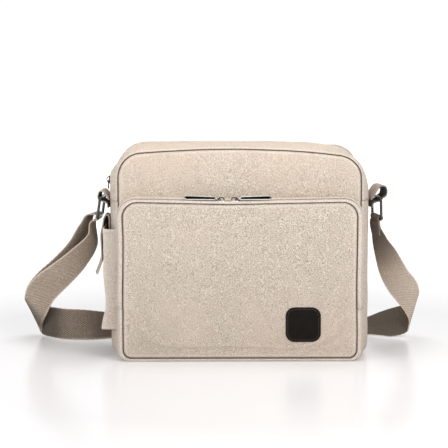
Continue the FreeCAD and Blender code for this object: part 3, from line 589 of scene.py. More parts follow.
def panel(name, section, depth, outward, puff, split, inset=0.5 * MM, roll=2.0 * MM, waves=0.5 * MM,
          slack=0.0):
    """A panel of cloth sewn in at its edge: rings follow the seam, a patch fills the middle.
    outward is -1 where it faces the front and 1 where it faces the back."""
    loops = [section.whole(inset + ring, split) for ring in PANEL_RINGS]
    count = len(loops[0])
    upper_last = 2 * SIDE_HIGH + 2 * CORNER_HIGH + LID
    right_top = SIDE_HIGH + CORNER_HIGH // 2
    left_top = upper_last - right_top
    left_low = upper_last + SIDE_LOW + CORNER_LOW // 2
    right_low = left_low + BASE + CORNER_LOW
    first = (len(PANEL_RINGS) - 1) * count

    def edge(start, stop):
        return np.arange(start, stop + 1) % count

    sides = [edge(left_low, right_low), edge(right_low, count + right_top),
             edge(right_top, left_top)[::-1], edge(left_top, left_low)[::-1]]
    patch = coons(*(loops[-1][side] for side in sides))
    rows, columns = patch.shape[:2]
    index = np.zeros((rows, columns), int)
    index[0], index[:, -1], index[-1], index[:, 0] = (first + side for side in sides)
    index[1:-1, 1:-1] = first + count + np.arange((rows - 2) * (columns - 2)).reshape(rows - 2, -1)
    flat = np.concatenate(loops + [patch[1:-1, 1:-1].reshape(-1, 2)])
    edge_place = np.full(len(flat), 99 * MM)
    edge_place[:len(PANEL_RINGS) * count] = np.repeat(PANEL_RINGS, count)

    faces = grid_faces(len(PANEL_RINGS), count, closed=True)
    for row in range(rows - 1):
        for column in range(columns - 1):
            faces.append((index[row, column], index[row, column + 1],
                          index[row + 1, column + 1], index[row + 1, column]))
    if outward > 0:
        faces = [face[::-1] for face in faces]

    middle = (flat[:, 1].max() + flat[:, 1].min()) / 2
    wide = 1 - (np.abs(flat[:, 0]) / flat[:, 0].max()) ** 2.2
    high = 1 - (np.abs(flat[:, 1] - middle) / (flat[:, 1].max() - middle)) ** 2.6
    swell = puff * np.clip(wide, 0, 1) ** 0.7 * np.clip(high, 0, 1) ** 0.7
    turned = roll * (1 - smooth(0, 3.4 * MM, edge_place))
    points = at_depth(flat, depth)
    reach = np.array([np.min(np.hypot(*(loops[0] - place).T)) for place in flat])
    relief = waves * smooth(1 * MM, 30 * MM, reach) * (
        ripple(points, 70 * MM, 2.2) + 0.5 * ripple(points, 26 * MM, 8.1)
        + 0.2 * ripple(points, 11 * MM, 4.4))
    gathers = (0.55 * waves * ripple(points, 10 * MM, 6.1) * smooth(0, 3 * MM, reach)
               * np.exp(-reach / (9 * MM)))
    points[:, 1] += outward * (swell - turned + relief + gathers)
    # Painted shade in the seam line; inside it a lighter band, partly wear and partly painted highlight on
    # the rolled edge.
    shade = np.exp(-(edge_place / (0.6 * MM)) ** 2)
    wear = np.exp(-((edge_place - 2.8 * MM) / (1.3 * MM)) ** 2)
    piece = mesh_piece(name, settle(points), faces, flat, shade=shade, wear=0.6 * wear)
    if slack:
        drape(piece, 1 - smooth(3 * MM, 16 * MM, reach), slack)
    return piece


MOST_BULGE = 2.2 * MM                         # how far the hanging cloth may move from its drawn place


def drape(piece, held, slack):
    """Lets a sewn panel hang: it is held at its seam, a little too big for its frame, pushed out
    by the air inside and pulled down by its weight. Only the way it bulges is kept."""
    grip = piece.vertex_groups.new(name="held")
    for index, weight in enumerate(held):
        grip.add([index], float(weight), "REPLACE")
    cloth_sim = piece.modifiers.new("hang", "CLOTH")
    rules = cloth_sim.settings
    rules.quality, rules.mass, rules.air_damping = 7, 0.25, 2.0
    rules.tension_stiffness = rules.compression_stiffness = 30
    rules.shear_stiffness, rules.bending_stiffness = 12, 1.2
    rules.vertex_group_mass, rules.pin_stiffness = "held", 8
    rules.shrink_min = rules.shrink_max = -slack
    rules.use_pressure, rules.uniform_pressure_force = True, 0.6
    cloth_sim.collision_settings.use_collision = False
    frames = 26
    cloth_sim.point_cache.frame_start, cloth_sim.point_cache.frame_end = 1, frames
    scene = bpy.context.scene
    before = np.array([point.co for point in piece.data.vertices])
    for step in range(1, frames + 1):
        scene.frame_set(step)
    shaped = piece.evaluated_get(bpy.context.evaluated_depsgraph_get()).data
    after = np.array([point.co for point in shaped.vertices])
    scene.frame_set(1)
    piece.modifiers.remove(cloth_sim)
    piece.vertex_groups.remove(grip)
    bulge = np.clip((after - before)[:, 1], -MOST_BULGE, MOST_BULGE) * (1 - held)
    if not np.all(np.isfinite(bulge)):
        raise RuntimeError("the hanging panel was not solved")
    before[:, 1] += bulge
    piece.data.vertices.foreach_set("co", before.ravel())
    piece.data.update()


# ------------------------------------------------------------------ main compartment

def strip_piece(name, section, line, split, rear, front, inner=None, **settings):
    """A sewn strip as a piece; it runs from its rear edge to its front edge."""
    depths = spaced(rear, front, 0.6 * MM, 3.2 * MM, min(4.2 * MM, abs(rear - front) / 2.5))
    grid, shade, wear = sewn_strip(section, line, split, depths, **settings)
    grid = pucker(grid, shade)
    if inner is not None:
        grid, shade, wear = folded_over(grid, shade, wear, line(inner, 0.0, split), front)
    return grid_piece(name, settle(grid), shade=0.9 * shade, wear=0.6 * wear)


def folded_over(grid, shade, wear, seam, depth):
    """Carries a strip round the front edge to a seam that lies further in, as a soft roll."""
    keep = np.abs(grid[:, 0, 1] - depth) > 1.5 * MM
    grid, shade, wear = grid[keep], shade[keep], wear[keep]
    edge = grid[-1]
    target = at_depth(seam, depth)
    rows = []
    for share, out in ((0.04, 0.9), (0.14, 0.35), (0.30, -0.15), (0.5, -0.4), (0.7, -0.25), (0.86, 0.25),
                       (0.95, 1.0), (1.0, 1.9)):
        row = edge + (target - edge) * share
        row[:, 1] = depth + out * MM
        rows.append(row)
    count = len(edge)
    # The roll is lightened, partly wear and partly painted highlight, and the seam it runs into is darkened
    # as painted shade.
    marks = [0, 0, 0, 0, 0, 0.15, 0.8, 1.0]
    light = [0.5, 0.9, 1.0, 0.9, 0.7, 0.4, 0, 0]
    return (np.concatenate([grid, rows]), np.concatenate([shade, np.outer(marks, np.ones(count))]),
            np.concatenate([wear, np.outer(light, np.ones(count))]))


def main_compartment():
    front_edge, rear_edge = -HALF_DEPTH + 0.3 * MM, HALF_DEPTH - 0.3 * MM
    cloth(panel("front_face", body_section(-HALF_DEPTH), -HALF_DEPTH, -1, 2.5 * MM, SEAM_HEIGHT,
                inset=1.15 * MM, slack=0.01),
          CANVAS, replaced=["front_panel"])
    cloth(panel("back_face", body_section(HALF_DEPTH), HALF_DEPTH, 1, 2.5 * MM, SEAM_HEIGHT,
                inset=1.15 * MM, slack=0.01),
          CANVAS, replaced=["back_panel"])
    cloth(strip_piece("gusset", body_section, Section.lower, SEAM_HEIGHT, rear_edge, front_edge,
                      puff=0.4 * MM),
          CANVAS, replaced=["body_gusset"])
    lip = CHAIN_HALF - 0.4 * MM
    cloth(strip_piece("zip_strip_front", body_section, Section.upper, SEAM_HEIGHT, -lip, front_edge,
                      puff=0.8 * MM, edge_roll=1.0 * MM),
          CANVAS, replaced=["zip_gusset_front"])
    cloth(strip_piece("zip_strip_rear", body_section, Section.upper, SEAM_HEIGHT, rear_edge, lip,
                      puff=0.8 * MM, edge_roll=1.0 * MM),
          CANVAS, replaced=["zip_gusset_rear"])


def lining_bag(prefix, section, front, rear, inset, split, replaced):
    """A closed bag of lining that follows its compartment from inside."""
    def line(part, extra, at):
        return part.whole(inset + extra, at)

    depths = np.linspace(rear, front, 14)
    grid = sewn_strip(section, line, split, depths, edge_roll=0.0)[0]
    normal = grid_normals(grid)
    grid = grid + normal * (ripple(grid, 25 * MM, 3.3) * 0.5 * MM)[..., None]
    cloth(grid_piece(prefix + "_side", settle(grid), closed=True), LINING, replaced=[replaced],
          thickness=0.3 * MM)
    for name, depth, outward in (("_front", front, -1), ("_back", rear, 1)):
        cloth(panel(prefix + name, section(depth), depth, outward, 0.0, split, inset=inset,
                    roll=0.3 * MM, waves=0.5 * MM),
              LINING, replaced=[replaced], thickness=0.3 * MM)


# ------------------------------------------------------------------ zips

def tube(path, radius, sides, closed=False, up=(0.0, 0.0, 1.0)):
    """Points and faces of a round wire along a path."""
    path = np.asarray(path, float)
    tangent = np.gradient(path, axis=0)
    if closed:
        tangent = np.roll(path, -1, axis=0) - np.roll(path, 1, axis=0)
    tangent = unit(tangent)
    side = np.cross(tangent, up)
    weak = np.linalg.norm(side, axis=1) < 0.05
    side[weak] = np.cross(tangent[weak], (1.0, 0.0, 0.0))
    side = unit(side)
    lift = np.cross(side, tangent)
    angles = np.linspace(0, 2 * math.pi, sides, endpoint=False)
    ring = np.cos(angles)[None, :, None] * side[:, None] + np.sin(angles)[None, :, None] * lift[:, None]
    points = (path[:, None] + radius * ring).reshape(-1, 3)
    rows = len(path)
    faces = [face[::-1] for face in grid_faces(rows, sides, closed=True)]
    if closed:
        last = (rows - 1) * sides
        for column in range(sides):
            after = (column + 1) % sides
            faces.append((column, after, last + after, last + column))
    else:
        faces.append(tuple(range(sides)))
        faces.append(tuple(range((rows - 1) * sides, rows * sides))[::-1])
    return points, faces


def gathered(parts):
    """Several (points, faces) as one."""
    points, faces, first = [], [], 0
    for part_points, part_faces in parts:
        points.append(np.asarray(part_points))
        faces += [tuple(corner + first for corner in face) for face in part_faces]
        first += len(part_points)
    return np.concatenate(points), faces


def evenly(path, step):
    """The path's points again, at even steps."""
    run = lengths(path)
    places = np.linspace(0, run[-1], max(2, round(run[-1] / step) + 1))
    return along(places, run, path)


def coil_row(path, outward, across, reach, side):
    """One nylon coil row: a flattened spring sewn along the tape's edge."""
    pitch, around = 1.45 * MM, 8
    run = lengths(path)
    turns = int(run[-1] / pitch)
    angle = np.arange(turns * around + 1) * (2 * math.pi / around)
    place = angle / (2 * math.pi) * pitch
    spine, lift, sideways = (along(place, run, values) for values in (path, outward, across))
    wide = reach * np.cos(angle * side)
    tall = 0.62 * MM * np.sin(angle * side)
    helix = spine + sideways * wide[:, None] + lift * tall[:, None]
    return tube(helix, 0.36 * MM, 5)


def zip_line(section, depth_low, depth_high, split, inset):
    """The zip's middle line with its outward and crosswise directions."""
    def line_at(depth):
        return at_depth(section(depth).upper(inset, split), depth)

    centre = line_at((depth_low + depth_high) / 2)
    across = unit(line_at(depth_high) - line_at(depth_low))
    outward = unit(np.cross(across, np.gradient(centre, axis=0)))
    return centre, outward, across


def zip_chain(prefix, section, low, high, split, nodes_front, nodes_rear):
    """Two coil rows that mesh in the middle, each on its own woven tape."""
    centre, outward, across = zip_line(section, low, high, split, 0.9 * MM)
    half = abs(high - low) / 2
    for name, side, node in (("front", -1, nodes_front), ("rear", 1, nodes_rear)):
        spine = centre + across * (side * 1.15 * MM)
        coil = mesh_piece(f"{prefix}_coil_{name}",
                          *coil_row(settle(spine), outward, across, 1.35 * MM, side))
        hard(coil, ZIP_COIL)
        edges = np.linspace(0.25 * MM, half + 2.2 * MM, 6) * side
        if side > 0:
            edges = edges[::-1]
        grid = np.array([centre + across * edge - outward * 0.75 * MM for edge in edges])
        tape = grid_piece(f"{prefix}_tape_{name}", settle(grid))
        cloth(tape, ZIP_TAPE, replaced=[node], thickness=0.5 * MM)


def front_pocket():
    split = POCKET_ZIP_END
    face = pocket_face_section(-POCKET_FRONT)
    cloth(panel("pocket_face", face, -POCKET_FRONT, -1, 1.2 * MM, split,
                inset=0.4 * MM, roll=2.0 * MM, waves=0.7 * MM, slack=0.01),
          CANVAS, replaced=["pocket_panel"])
    cloth(strip_piece("pocket_lip", pocket_section, Section.upper, split, -WELT_END + 1.6 * MM,
                      -POCKET_FRONT + 0.2 * MM, inner=face, puff=1.1 * MM, edge_roll=0.9 * MM),
          CANVAS, replaced=["pocket_welt"])
    cloth(strip_piece("pocket_back_strip", pocket_section, Section.upper, split,
                      -HALF_DEPTH - 0.2 * MM, -CHAIN_END - 0.6 * MM, puff=0.3 * MM,
                      edge_roll=1.0 * MM),
          CANVAS, replaced=["pocket_rear_strip"])
    cloth(strip_piece("pocket_side_strip", pocket_section, Section.lower, split,
                      -HALF_DEPTH - 0.2 * MM, -POCKET_FRONT + 0.2 * MM, inner=face, puff=0.6 * MM),
          CANVAS, replaced=["pocket_gusset"])
    zip_chain("pocket", pocket_section, -WELT_END, -CHAIN_END, split,
              "pocket_zip_half_front", "pocket_zip_half_rear")


# ------------------------------------------------------------------ thread, plates and badge

def stitch_row(path, outward, pitch=3.2 * MM, share=0.72, radius=0.32 * MM, sink=0.1 * MM):
    """A row of thread stitches along a path: each one a small spindle bedded in the cloth."""
    run = lengths(path)
    count = max(1, int(run[-1] / pitch))
    parts = []
    for number in range(count):
        start = (number + 0.5 - share / 2) * pitch
        ends = along((start, start + share * pitch), run, path)
        lift = along(start, run, outward)
        places = np.array([0.0, 0.16, 0.5, 0.84, 1.0])[:, None]
        spine = ends[0] + (ends[1] - ends[0]) * places
        bow = np.array([-1.0, 0.3, 0.9, 0.3, -1.0])[:, None] * radius - sink
        parts.append(tube(spine + lift * bow, radius, 6, up=tuple(lift + (1e-4, 2e-4, 3e-4))))
    return gathered(parts)


def thread_piece(name, rows, material=None, body=BAG):
    piece = mesh_piece(name, *gathered(rows))
    return hard(piece, material or THREAD, body)


def rounded_rectangle(width, height, radius, steps=8):
    """A closed outline, counter-clockwise, round the origin."""
    points = []
    for start, (x, z) in enumerate(((1, 1), (-1, 1), (-1, -1), (1, -1))):
        centre = (x * (width / 2 - radius), z * (height / 2 - radius))
        for step in range(steps + 1):
            angle = math.radians(start * 90 + 90 * step / steps)
            points.append((centre[0] + radius * math.cos(angle), centre[1] + radius * math.sin(angle)))
    return np.array(points)


def inset_outline(outline, distance):
    """The closed outline drawn in by a distance, along its own normals."""
    after, before = np.roll(outline, -1, axis=0), np.roll(outline, 1, axis=0)
    tangent = after - before
    tangent /= np.maximum(np.linalg.norm(tangent, axis=1, keepdims=True), 1e-9)
    normal = np.stack([-tangent[:, 1], tangent[:, 0]], axis=1)
    return outline + normal * distance


def turned_plate(outline, profile):
    """A plate whose rim follows a profile of (inset, height) steps, from its back to its face."""
    count = len(outline)
    points = []
    for inset, height in profile:
        ring = inset_outline(outline, inset)
        points += [(x, y, height) for x, y in ring]
    faces = grid_faces(len(profile), count, closed=True)
    faces.append(tuple(range(count))[::-1])
    faces.append(tuple(range((len(profile) - 1) * count, len(profile) * count)))
    return np.array(points), faces


def placed(part, matrix):
    points, faces = part
    moved = [matrix @ Vector(point) for point in points]
    return np.array(moved), faces


def badge():
    """A thick leather square with round corners, lighter along its rounded top edge, and one row of
    stitches.
    """
    low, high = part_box("leather_patch")
    side, thick = high.x - low.x, high.y - low.y
    middle = ((low.x + high.x) / 2, high.y, (low.z + high.z) / 2)
    facing = Matrix(((1, 0, 0, middle[0]), (0, 0, -1, middle[1]), (0, 1, 0, middle[2]), (0, 0, 0, 1)))
    outline = rounded_rectangle(side, side, 11 * MM, 10)
    profile = [(0.3 * MM, -1.6 * MM), (0.0, -0.6 * MM), (0.0, thick * 0.6), (0.25 * MM, thick * 0.9),
               (0.8 * MM, thick), (2.1 * MM, thick), (2.7 * MM, thick - 0.35 * MM),
               (3.3 * MM, thick), (5.0 * MM, thick + 0.1 * MM), (9.0 * MM, thick + 0.25 * MM)]
    points, faces = placed(turned_plate(outline, profile), facing)
    count = len(outline)
    wear = np.zeros(len(points))
    wear[3 * count:5 * count] = 0.7
    piece = mesh_piece("leather_badge", points, faces, wear=wear)
    hard(piece, LEATHER, replaced=["leather_patch"])
    row = inset_outline(outline, 2.7 * MM)
    row = np.concatenate([row, row[:1]])
    path = evenly(np.array([facing @ Vector((x, z, thick - 0.1 * MM)) for x, z in row]), 1 * MM)
    outward = np.tile((0.0, -1.0, 0.0), (len(path), 1))
    thread_piece("badge_stitches", [stitch_row(path, outward, pitch=2.7 * MM, radius=0.3 * MM)],
                 BADGE_THREAD)


# ------------------------------------------------------------------ zip sliders and pulls

JOINTS = {joint["name"]: joint for joint in frame["joints"]}
PIVOT_ALONG, PIVOT_HEIGHT = 1.5 * MM, 2.6 * MM   # a pull's pivot in its slider's own frame


POCKET_PULL, MAIN_PULL = 45 * MM, 11 * MM      # lengths of the pulls


def slider_frame(slide, hinge, sign):
    """X along the way the pull points, Y across the zip, Z out of it."""
    along = Vector(JOINTS[slide]["axis"]) * sign
    across = -Vector(JOINTS[hinge]["axis"])
    outward = along.cross(across)
    pivot = Vector(JOINTS[hinge]["pos_m"])
    origin = pivot - along * PIVOT_ALONG - outward * PIVOT_HEIGHT
    matrix = Matrix((along, across, outward)).transposed().to_4x4()
    matrix.translation = origin
    return matrix


def slider_outline():
    """A slider seen from above: a round nose at one end, straight flanks, a square mouth."""
    nose = [(-5.0, 1.6), (-4.6, 2.9), (-3.4, 3.8), (-1.5, 4.0), (2.0, 3.6), (4.4, 3.2), (5.0, 2.6)]
    half = [(x * MM, y * MM) for x, y in nose]
    mirrored = [(x, -y) for x, y in half[::-1]]
    return np.array((half + mirrored)[::-1])


def slider_mesh(rise):
    """Top and bottom plates with turned rims, the neck, and the arched bridge."""
    outline = slider_outline()
    thick = 1.1 * MM
    rim = [(0.35 * MM, 0.3 * MM), (0.0, 0.55 * MM), (0.0, 1.4 * MM), (0.3 * MM, 1.8 * MM),
           (0.9 * MM, 1.9 * MM)]
    low = -(2.45 + 0.3) * MM
    under = [(0.5 * MM, low - thick), (0.05 * MM, low - 0.8 * thick), (0.0, low - 0.3 * thick),
             (0.3 * MM, low)]
    narrow = outline * (1.0, 0.72)
    parts = [turned_plate(outline, rim), turned_plate(narrow, under)]
    neck = rounded_rectangle(2.8 * MM, 1.15 * MM, 0.5 * MM, 3) + (-3.4 * MM, 0)
    parts.append(turned_plate(neck, [(0.0, low - 0.1 * MM), (0.0, 0.5 * MM)]))
    bridge_path = np.array([(-3.5, 1.2), (-3.5, 2.8), (-3.0, 4.3), (-1.5, 5.05), (0.8, 5.1),
                            (2.5, 4.6), (3.3, 3.2), (3.4, 1.2)]) * MM
    bridge_path[:, 1] = 1.2 * MM + (bridge_path[:, 1] - 1.2 * MM) * rise
    spine = evenly(np.stack([bridge_path[:, 0], np.zeros(8), bridge_path[:, 1]], axis=1), 0.5 * MM)
    points, faces = tube(spine, 0.55 * MM, 8, up=(0.0, 1.0, 0.0))
    points[:, 1] *= 1.8
    parts.append((points, faces))
    return gathered(parts)


def pull_mesh(length, lean):
    """A link under the bridge, then a slim tongue with a raised rim and a rounded tip."""
    level = PIVOT_HEIGHT
    link_far = 7.0 * MM
    tongue_start, tongue_end = 5.6 * MM, 0.8 * MM + length
    link = rounded_rectangle(link_far - 0.8 * MM, 3.9 * MM, 1.4 * MM, 5)
    path = np.stack([link[:, 0] + 0.8 * MM + (link_far - 0.8 * MM) / 2 + 0.05 * MM, link[:, 1],
                     np.full(len(link), level)], axis=1)
    link_part = tube(path, 0.5 * MM, 8, closed=True)
    size = tongue_end - tongue_start
    steps = np.linspace(0, 1, 14)
    half = (2.3 + 0.65 * steps) * MM
    rounding = np.sqrt(np.clip(1 - ((steps * size - (size - 2.6 * MM)) / (2.6 * MM)).clip(0) ** 2, 0, 1))
    start_round = np.sqrt(np.clip(1 - ((1.2 * MM - steps * size) / (1.2 * MM)).clip(0) ** 2, 0.1, 1))
    half = half * np.maximum(rounding, 0.12) * start_round
    x = tongue_start + steps * size
    outline = np.concatenate([np.stack([x, -half], axis=1), np.stack([x, half], axis=1)[::-1]])
    rim = [(0.3 * MM, level - 0.7 * MM), (0.0, level - 0.4 * MM), (0.0, level + 0.35 * MM),
           (0.3 * MM, level + 0.65 * MM), (0.75 * MM, level + 0.68 * MM), (1.1 * MM, level + 0.3 * MM),
           (1.3 * MM, level + 0.28 * MM)]
    plate, plate_faces = turned_plate(outline, rim)
    lift = 1.1 * MM * (abs(lean) > 0)
    rolled = plate.copy()
    rolled[:, 1] = plate[:, 1] * math.cos(lean) - (plate[:, 2] - level) * math.sin(lean)
    rolled[:, 2] = level + lift + plate[:, 1] * math.sin(lean) + (plate[:, 2] - level) * math.cos(lean)
    count, before = len(outline), len(link_part[0])
    shade, wear = np.zeros(before + len(plate)), np.zeros(before + len(plate))
    # Painted shade in the tongue's recess and a painted highlight on its rim; a pull that doesn't lean is
    # darkened all over and gets no highlight.
    shade[before + 5 * count:] = 0.9
    if not lean:
        shade[:] = 0.9
    wear[before + count:before + 5 * count] = 0.9 if lean else 0.0
    return (*gathered([link_part, (rolled, plate_faces)]), shade, wear)


def sliders_and_pulls():
    for where, slide, sign, length, lean in (
            ("pocket_{}_left", "pocket_slider_left_slide", 1, POCKET_PULL, -38),
            ("pocket_{}_right", "pocket_slider_right_slide", 1, POCKET_PULL, 38),
            ("main_{}", "main_slider_slide", -1, MAIN_PULL, 0)):
        slider, pull = where.format("slider"), where.format("pull")
        matrix = slider_frame(slide, pull + "_hinge", sign)
        points, faces = slider_mesh(1.0 if lean else 0.86)
        height = points[:, 2]
        # Painted highlight on the top plate's rim and painted shade on the bridge; the main slider is
        # darkened all over.
        wear = smooth(0.4 * MM, 0.8 * MM, height) * (1 - smooth(1.95 * MM, 2.3 * MM, height))
        shade = 0.85 * smooth(2.0 * MM, 2.8 * MM, height) * (1 - smooth(5.2 * MM, 5.6 * MM, height))
        if not lean:
            wear, shade = np.zeros_like(height), np.full_like(height, 0.9)
        body = mesh_piece(slider + "_cast", *placed((points, faces), matrix), wear=wear, shade=shade)
        hard(body, HARDWARE, slider, [slider])
        points, faces, shade, wear = pull_mesh(length, math.radians(lean))
        tongue = mesh_piece(pull + "_cast", *placed((points, faces), matrix), shade=shade, wear=wear)
        hard(tongue, HARDWARE, pull, [pull])


# ------------------------------------------------------------------ webbing

def spline(points, step):
    """A smooth curve through points, sampled at about even steps."""
    points = np.asarray(points, float)
    chord = lengths(points)
    padded = np.concatenate([[2 * points[0] - points[1]], points, [2 * points[-1] - points[-2]]])
    knots = np.concatenate([[chord[0] - (chord[1] - chord[0])], chord,
                            [chord[-1] + (chord[-1] - chord[-2])]])
    places = np.linspace(0, chord[-1], max(2, round(chord[-1] / step) + 1))
    found = []
    for place in places:
        span = min(max(int(np.searchsorted(chord, place, side="right")) - 1, 0), len(chord) - 2) + 1
        t0, t1, t2, t3 = knots[span - 1:span + 3]
        p0, p1, p2, p3 = padded[span - 1:span + 3]
        share = (place - t1) / (t2 - t1)
        m1 = (t2 - t1) * ((p1 - p0) / (t1 - t0) - (p2 - p0) / (t2 - t0) + (p2 - p1) / (t2 - t1))
        m2 = (t2 - t1) * ((p2 - p1) / (t2 - t1) - (p3 - p1) / (t3 - t1) + (p3 - p2) / (t3 - t2))
        found.append((2 * share ** 3 - 3 * share ** 2 + 1) * p1 + (share ** 3 - 2 * share ** 2 + share) * m1
                     + (-2 * share ** 3 + 3 * share ** 2) * p2 + (share ** 3 - share ** 2) * m2)
    return np.array(found)


def band(name, stations, width, thickness, step=3.0 * MM, cuts=12, edge_wear=0.5, dark_side=0,
         dark=0.42, stripes=0, ring_shade=0.0, fresh=0.0):
    """A strap through stations of (one edge, other edge), as a closed solid with soft edges.
    Its face is on the side that the first edge, the second edge and the way along wind round."""
    both = np.array([np.concatenate(station) for station in stations], float)
    path = spline(both, step)
    first, second = path[:, :3], path[:, 3:]
    middle = (first + second) / 2
    across = unit(second - first)
    normal = unit(np.cross(np.gradient(middle, axis=0), across))
    run = lengths(middle)

    half = width / 2
    top = np.cos(np.linspace(0, math.pi, cuts + 1)) * -half
    edge = 0.35 * thickness
    loop = [(-half, 0.0)] + [(min(max(u, -half + edge), half - edge), 1.0) for u in top]
    loop += [(half, 0.0)] + [(min(max(u, -half + edge), half - edge), -1.0) for u in top[::-1]]
    loop = np.array(loop)
    ragged = 0.14 * MM * np.sin(run * (2 * math.pi / (1.9 * MM)))
    points, shade, wear, uv = [], [], [], []
    for place in range(len(run)):
        u = loop[:, 0] + np.sign(loop[:, 0]) * (np.abs(loop[:, 0]) > half - 0.6 * MM) * ragged[place]
        lift = loop[:, 1] * thickness / 2
        points.append(middle[place] + across[place] * u[:, None] + normal[place] * lift[:, None])
        # Edges lightened, partly wear and partly painted highlight; a whole strap can be lightened evenly as
        # painted light.
        rim = np.exp(-((half - np.abs(loop[:, 0])) / (1.6 * MM)) ** 2)
        wear.append(np.maximum(edge_wear * rim, fresh))
        # One side can be darkened: painted shade on the straps and the ring tabs' inner sides, hook tape on
        # the closing tab. The stretch by the floor that faces the front gets a painted shadow and the part
        # near the ring painted shade; the stripes are woven lines carried in the same attribute.
        under = loop[:, 1] * dark_side > 0.5
        near_floor = float((1 - smooth(0.03, 0.05, middle[place, 2]))
                           * smooth(0.06, 0.09, middle[place, 1]))
        inward = smooth(0.08, 0.42, -loop[:, 1] * normal[place, 1])
        lines = 0.5 * np.cos(loop[:, 0] / half * math.pi * stripes) ** 8 if stripes else 0.0
        near_ring = ring_shade * float(smooth(0.085, 0.145, middle[place, 2]))
        shade.append(np.maximum(np.where(under, dark, lines),
                                np.maximum(0.85 * near_floor * inward, near_ring)))
        uv.append(np.stack([loop[:, 0], np.full(len(loop), run[place])], axis=1))
    rows, columns = len(run), len(loop)
    points = np.array(points).reshape(-1, 3)
    faces = grid_faces(rows, columns, closed=True)
    faces.append(tuple(range(columns))[::-1])
    faces.append(tuple(range((rows - 1) * columns, rows * columns)))
    return mesh_piece(name, points, faces, np.array(uv).reshape(-1, 2),
                      wear=np.array(wear), shade=np.array(shade)), run[-1]


def strap_piece(name, stations, replaced, **settings):
    piece, length = band(name, stations, STRAP_WIDTH, STRAP_THICK, **settings)
    piece.data.materials.append(WEBBING)
    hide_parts(*replaced)
    return piece


STRAP_WIDTH, STRAP_THICK = 40 * MM, 1.6 * MM
# The strap's two edges where it lies, in millimetres, the same route as the part's: from the left
# ring out and down to the floor, along behind the bag and up to the right ring.
LEFT_RUN = [
    ((-178.6, -19.9, 164.6), (-175.8, 19.9, 163.2)),
    ((-190.0, -15.0, 151.0), (-181.0, 20.0, 134.5)),
    ((-213.0, 0.0, 129.5), (-196.5, 27.0, 105.5)),
    ((-241.0, 22.0, 107.4), (-216.0, 41.0, 82.0)),
    ((-262.0, 42.0, 90.5), (-231.0, 52.0, 67.0)),
    ((-276.0, 62.0, 74.0), (-245.0, 70.0, 50.0)),
    ((-281.0, 76.0, 62.0), (-254.0, 83.0, 33.0)),
    ((-283.0, 91.0, 52.0), (-262.0, 96.0, 18.0)),
    ((-280.5, 104.0, 45.5), (-265.5, 107.0, 8.5)),
    ((-272.5, 112.0, 41.8), (-264.0, 113.0, 2.8)),
    ((-260.5, 108.0, 41.0), (-257.0, 107.0, 1.2)),
    ((-245.0, 94.0, 41.0), (-245.0, 92.0, 1.0)),
    ((-226.0, 83.0, 40.4), (-227.0, 76.0, 1.0)),
    ((-205.0, 86.0, 38.4), (-206.0, 72.0, 1.0)),
    ((-182.0, 99.0, 33.0), (-183.0, 75.0, 1.2)),
    ((-160.0, 111.0, 29.5), (-160.0, 81.5, 2.5)),
    ((-135.0, 118.0, 30.5), (-135.0, 86.0, 6.5)),
]
STRAIGHT = [((-100.0, 118.0, 30.5), (-100.0, 86.0, 6.5)), ((-62.0, 118.0, 30.5), (-62.0, 86.0, 6.5))]
RIGHT_RUN = [
    ((-62.0, 118.0, 30.5), (-62.0, 86.0, 6.5)),
    ((-20.0, 118.0, 30.5), (-20.0, 86.0, 6.5)),
    ((8.0, 118.0, 30.5), (8.0, 86.0, 6.5)),
    ((20.0, 118.0, 30.5), (20.0, 86.0, 6.5)),
    ((60.0, 123.5, 24.5), (60.0, 88.0, 6.0)),
    ((110.0, 135.0, 17.0), (110.0, 97.0, 4.5)),
    ((150.0, 141.0, 14.0), (150.0, 103.0, 1.5)),
    ((174.0, 141.0, 18.5), (176.0, 105.0, 1.2)),
    ((190.0, 127.0, 28.0), (190.0, 97.0, 1.4)),
    ((206.0, 109.0, 37.0), (204.0, 91.0, 1.3)),
    ((220.0, 100.0, 42.5), (216.0, 92.0, 3.5)),
    ((229.5, 93.0, 46.5), (223.0, 91.0, 7.2)),
    ((233.6, 83.0, 52.5), (224.6, 86.0, 13.6)),
    ((235.6, 71.0, 62.5), (224.1, 77.0, 24.5)),
    ((233.2, 57.0, 74.5), (216.7, 66.0, 39.3)),
    ((227.0, 43.0, 86.0), (205.0, 54.0, 54.5)),
    ((218.0, 26.0, 97.0), (193.0, 42.0, 70.0)),
    ((207.5, 9.0, 113.0), (181.5, 30.0, 91.5)),
    ((196.0, -7.0, 131.0), (173.8, 24.0, 118.5)),
    ((183.0, -16.5, 148.0), (169.8, 21.0, 143.5)),
]
RETURN_GAPS = [18.0, 14.0, 9.0, 5.8, 3.8, 2.9, 2.5, 2.4, 2.4, 2.4, 2.4, 2.4, 2.4, 2.4, 2.4, 2.4]


def in_metres(stations):
    return [tuple(tuple(value * MM for value in edge) for edge in station) for station in stations]


def raised(stations, gaps):
    """The stations of a layer that lies above another by a gap at each station."""
    pairs = [(Vector(first), Vector(second)) for first, second in stations]
    middles = [(first + second) / 2 for first, second in pairs]
    found = []
    for place, (first, second) in enumerate(pairs):
        before, after = middles[max(place - 1, 0)], middles[min(place + 1, len(pairs) - 1)]
        normal = (after - before).cross((second - first).normalized()).normalized()
        found.append((tuple(first - normal * gaps[place]), tuple(second - normal * gaps[place])))
    return found


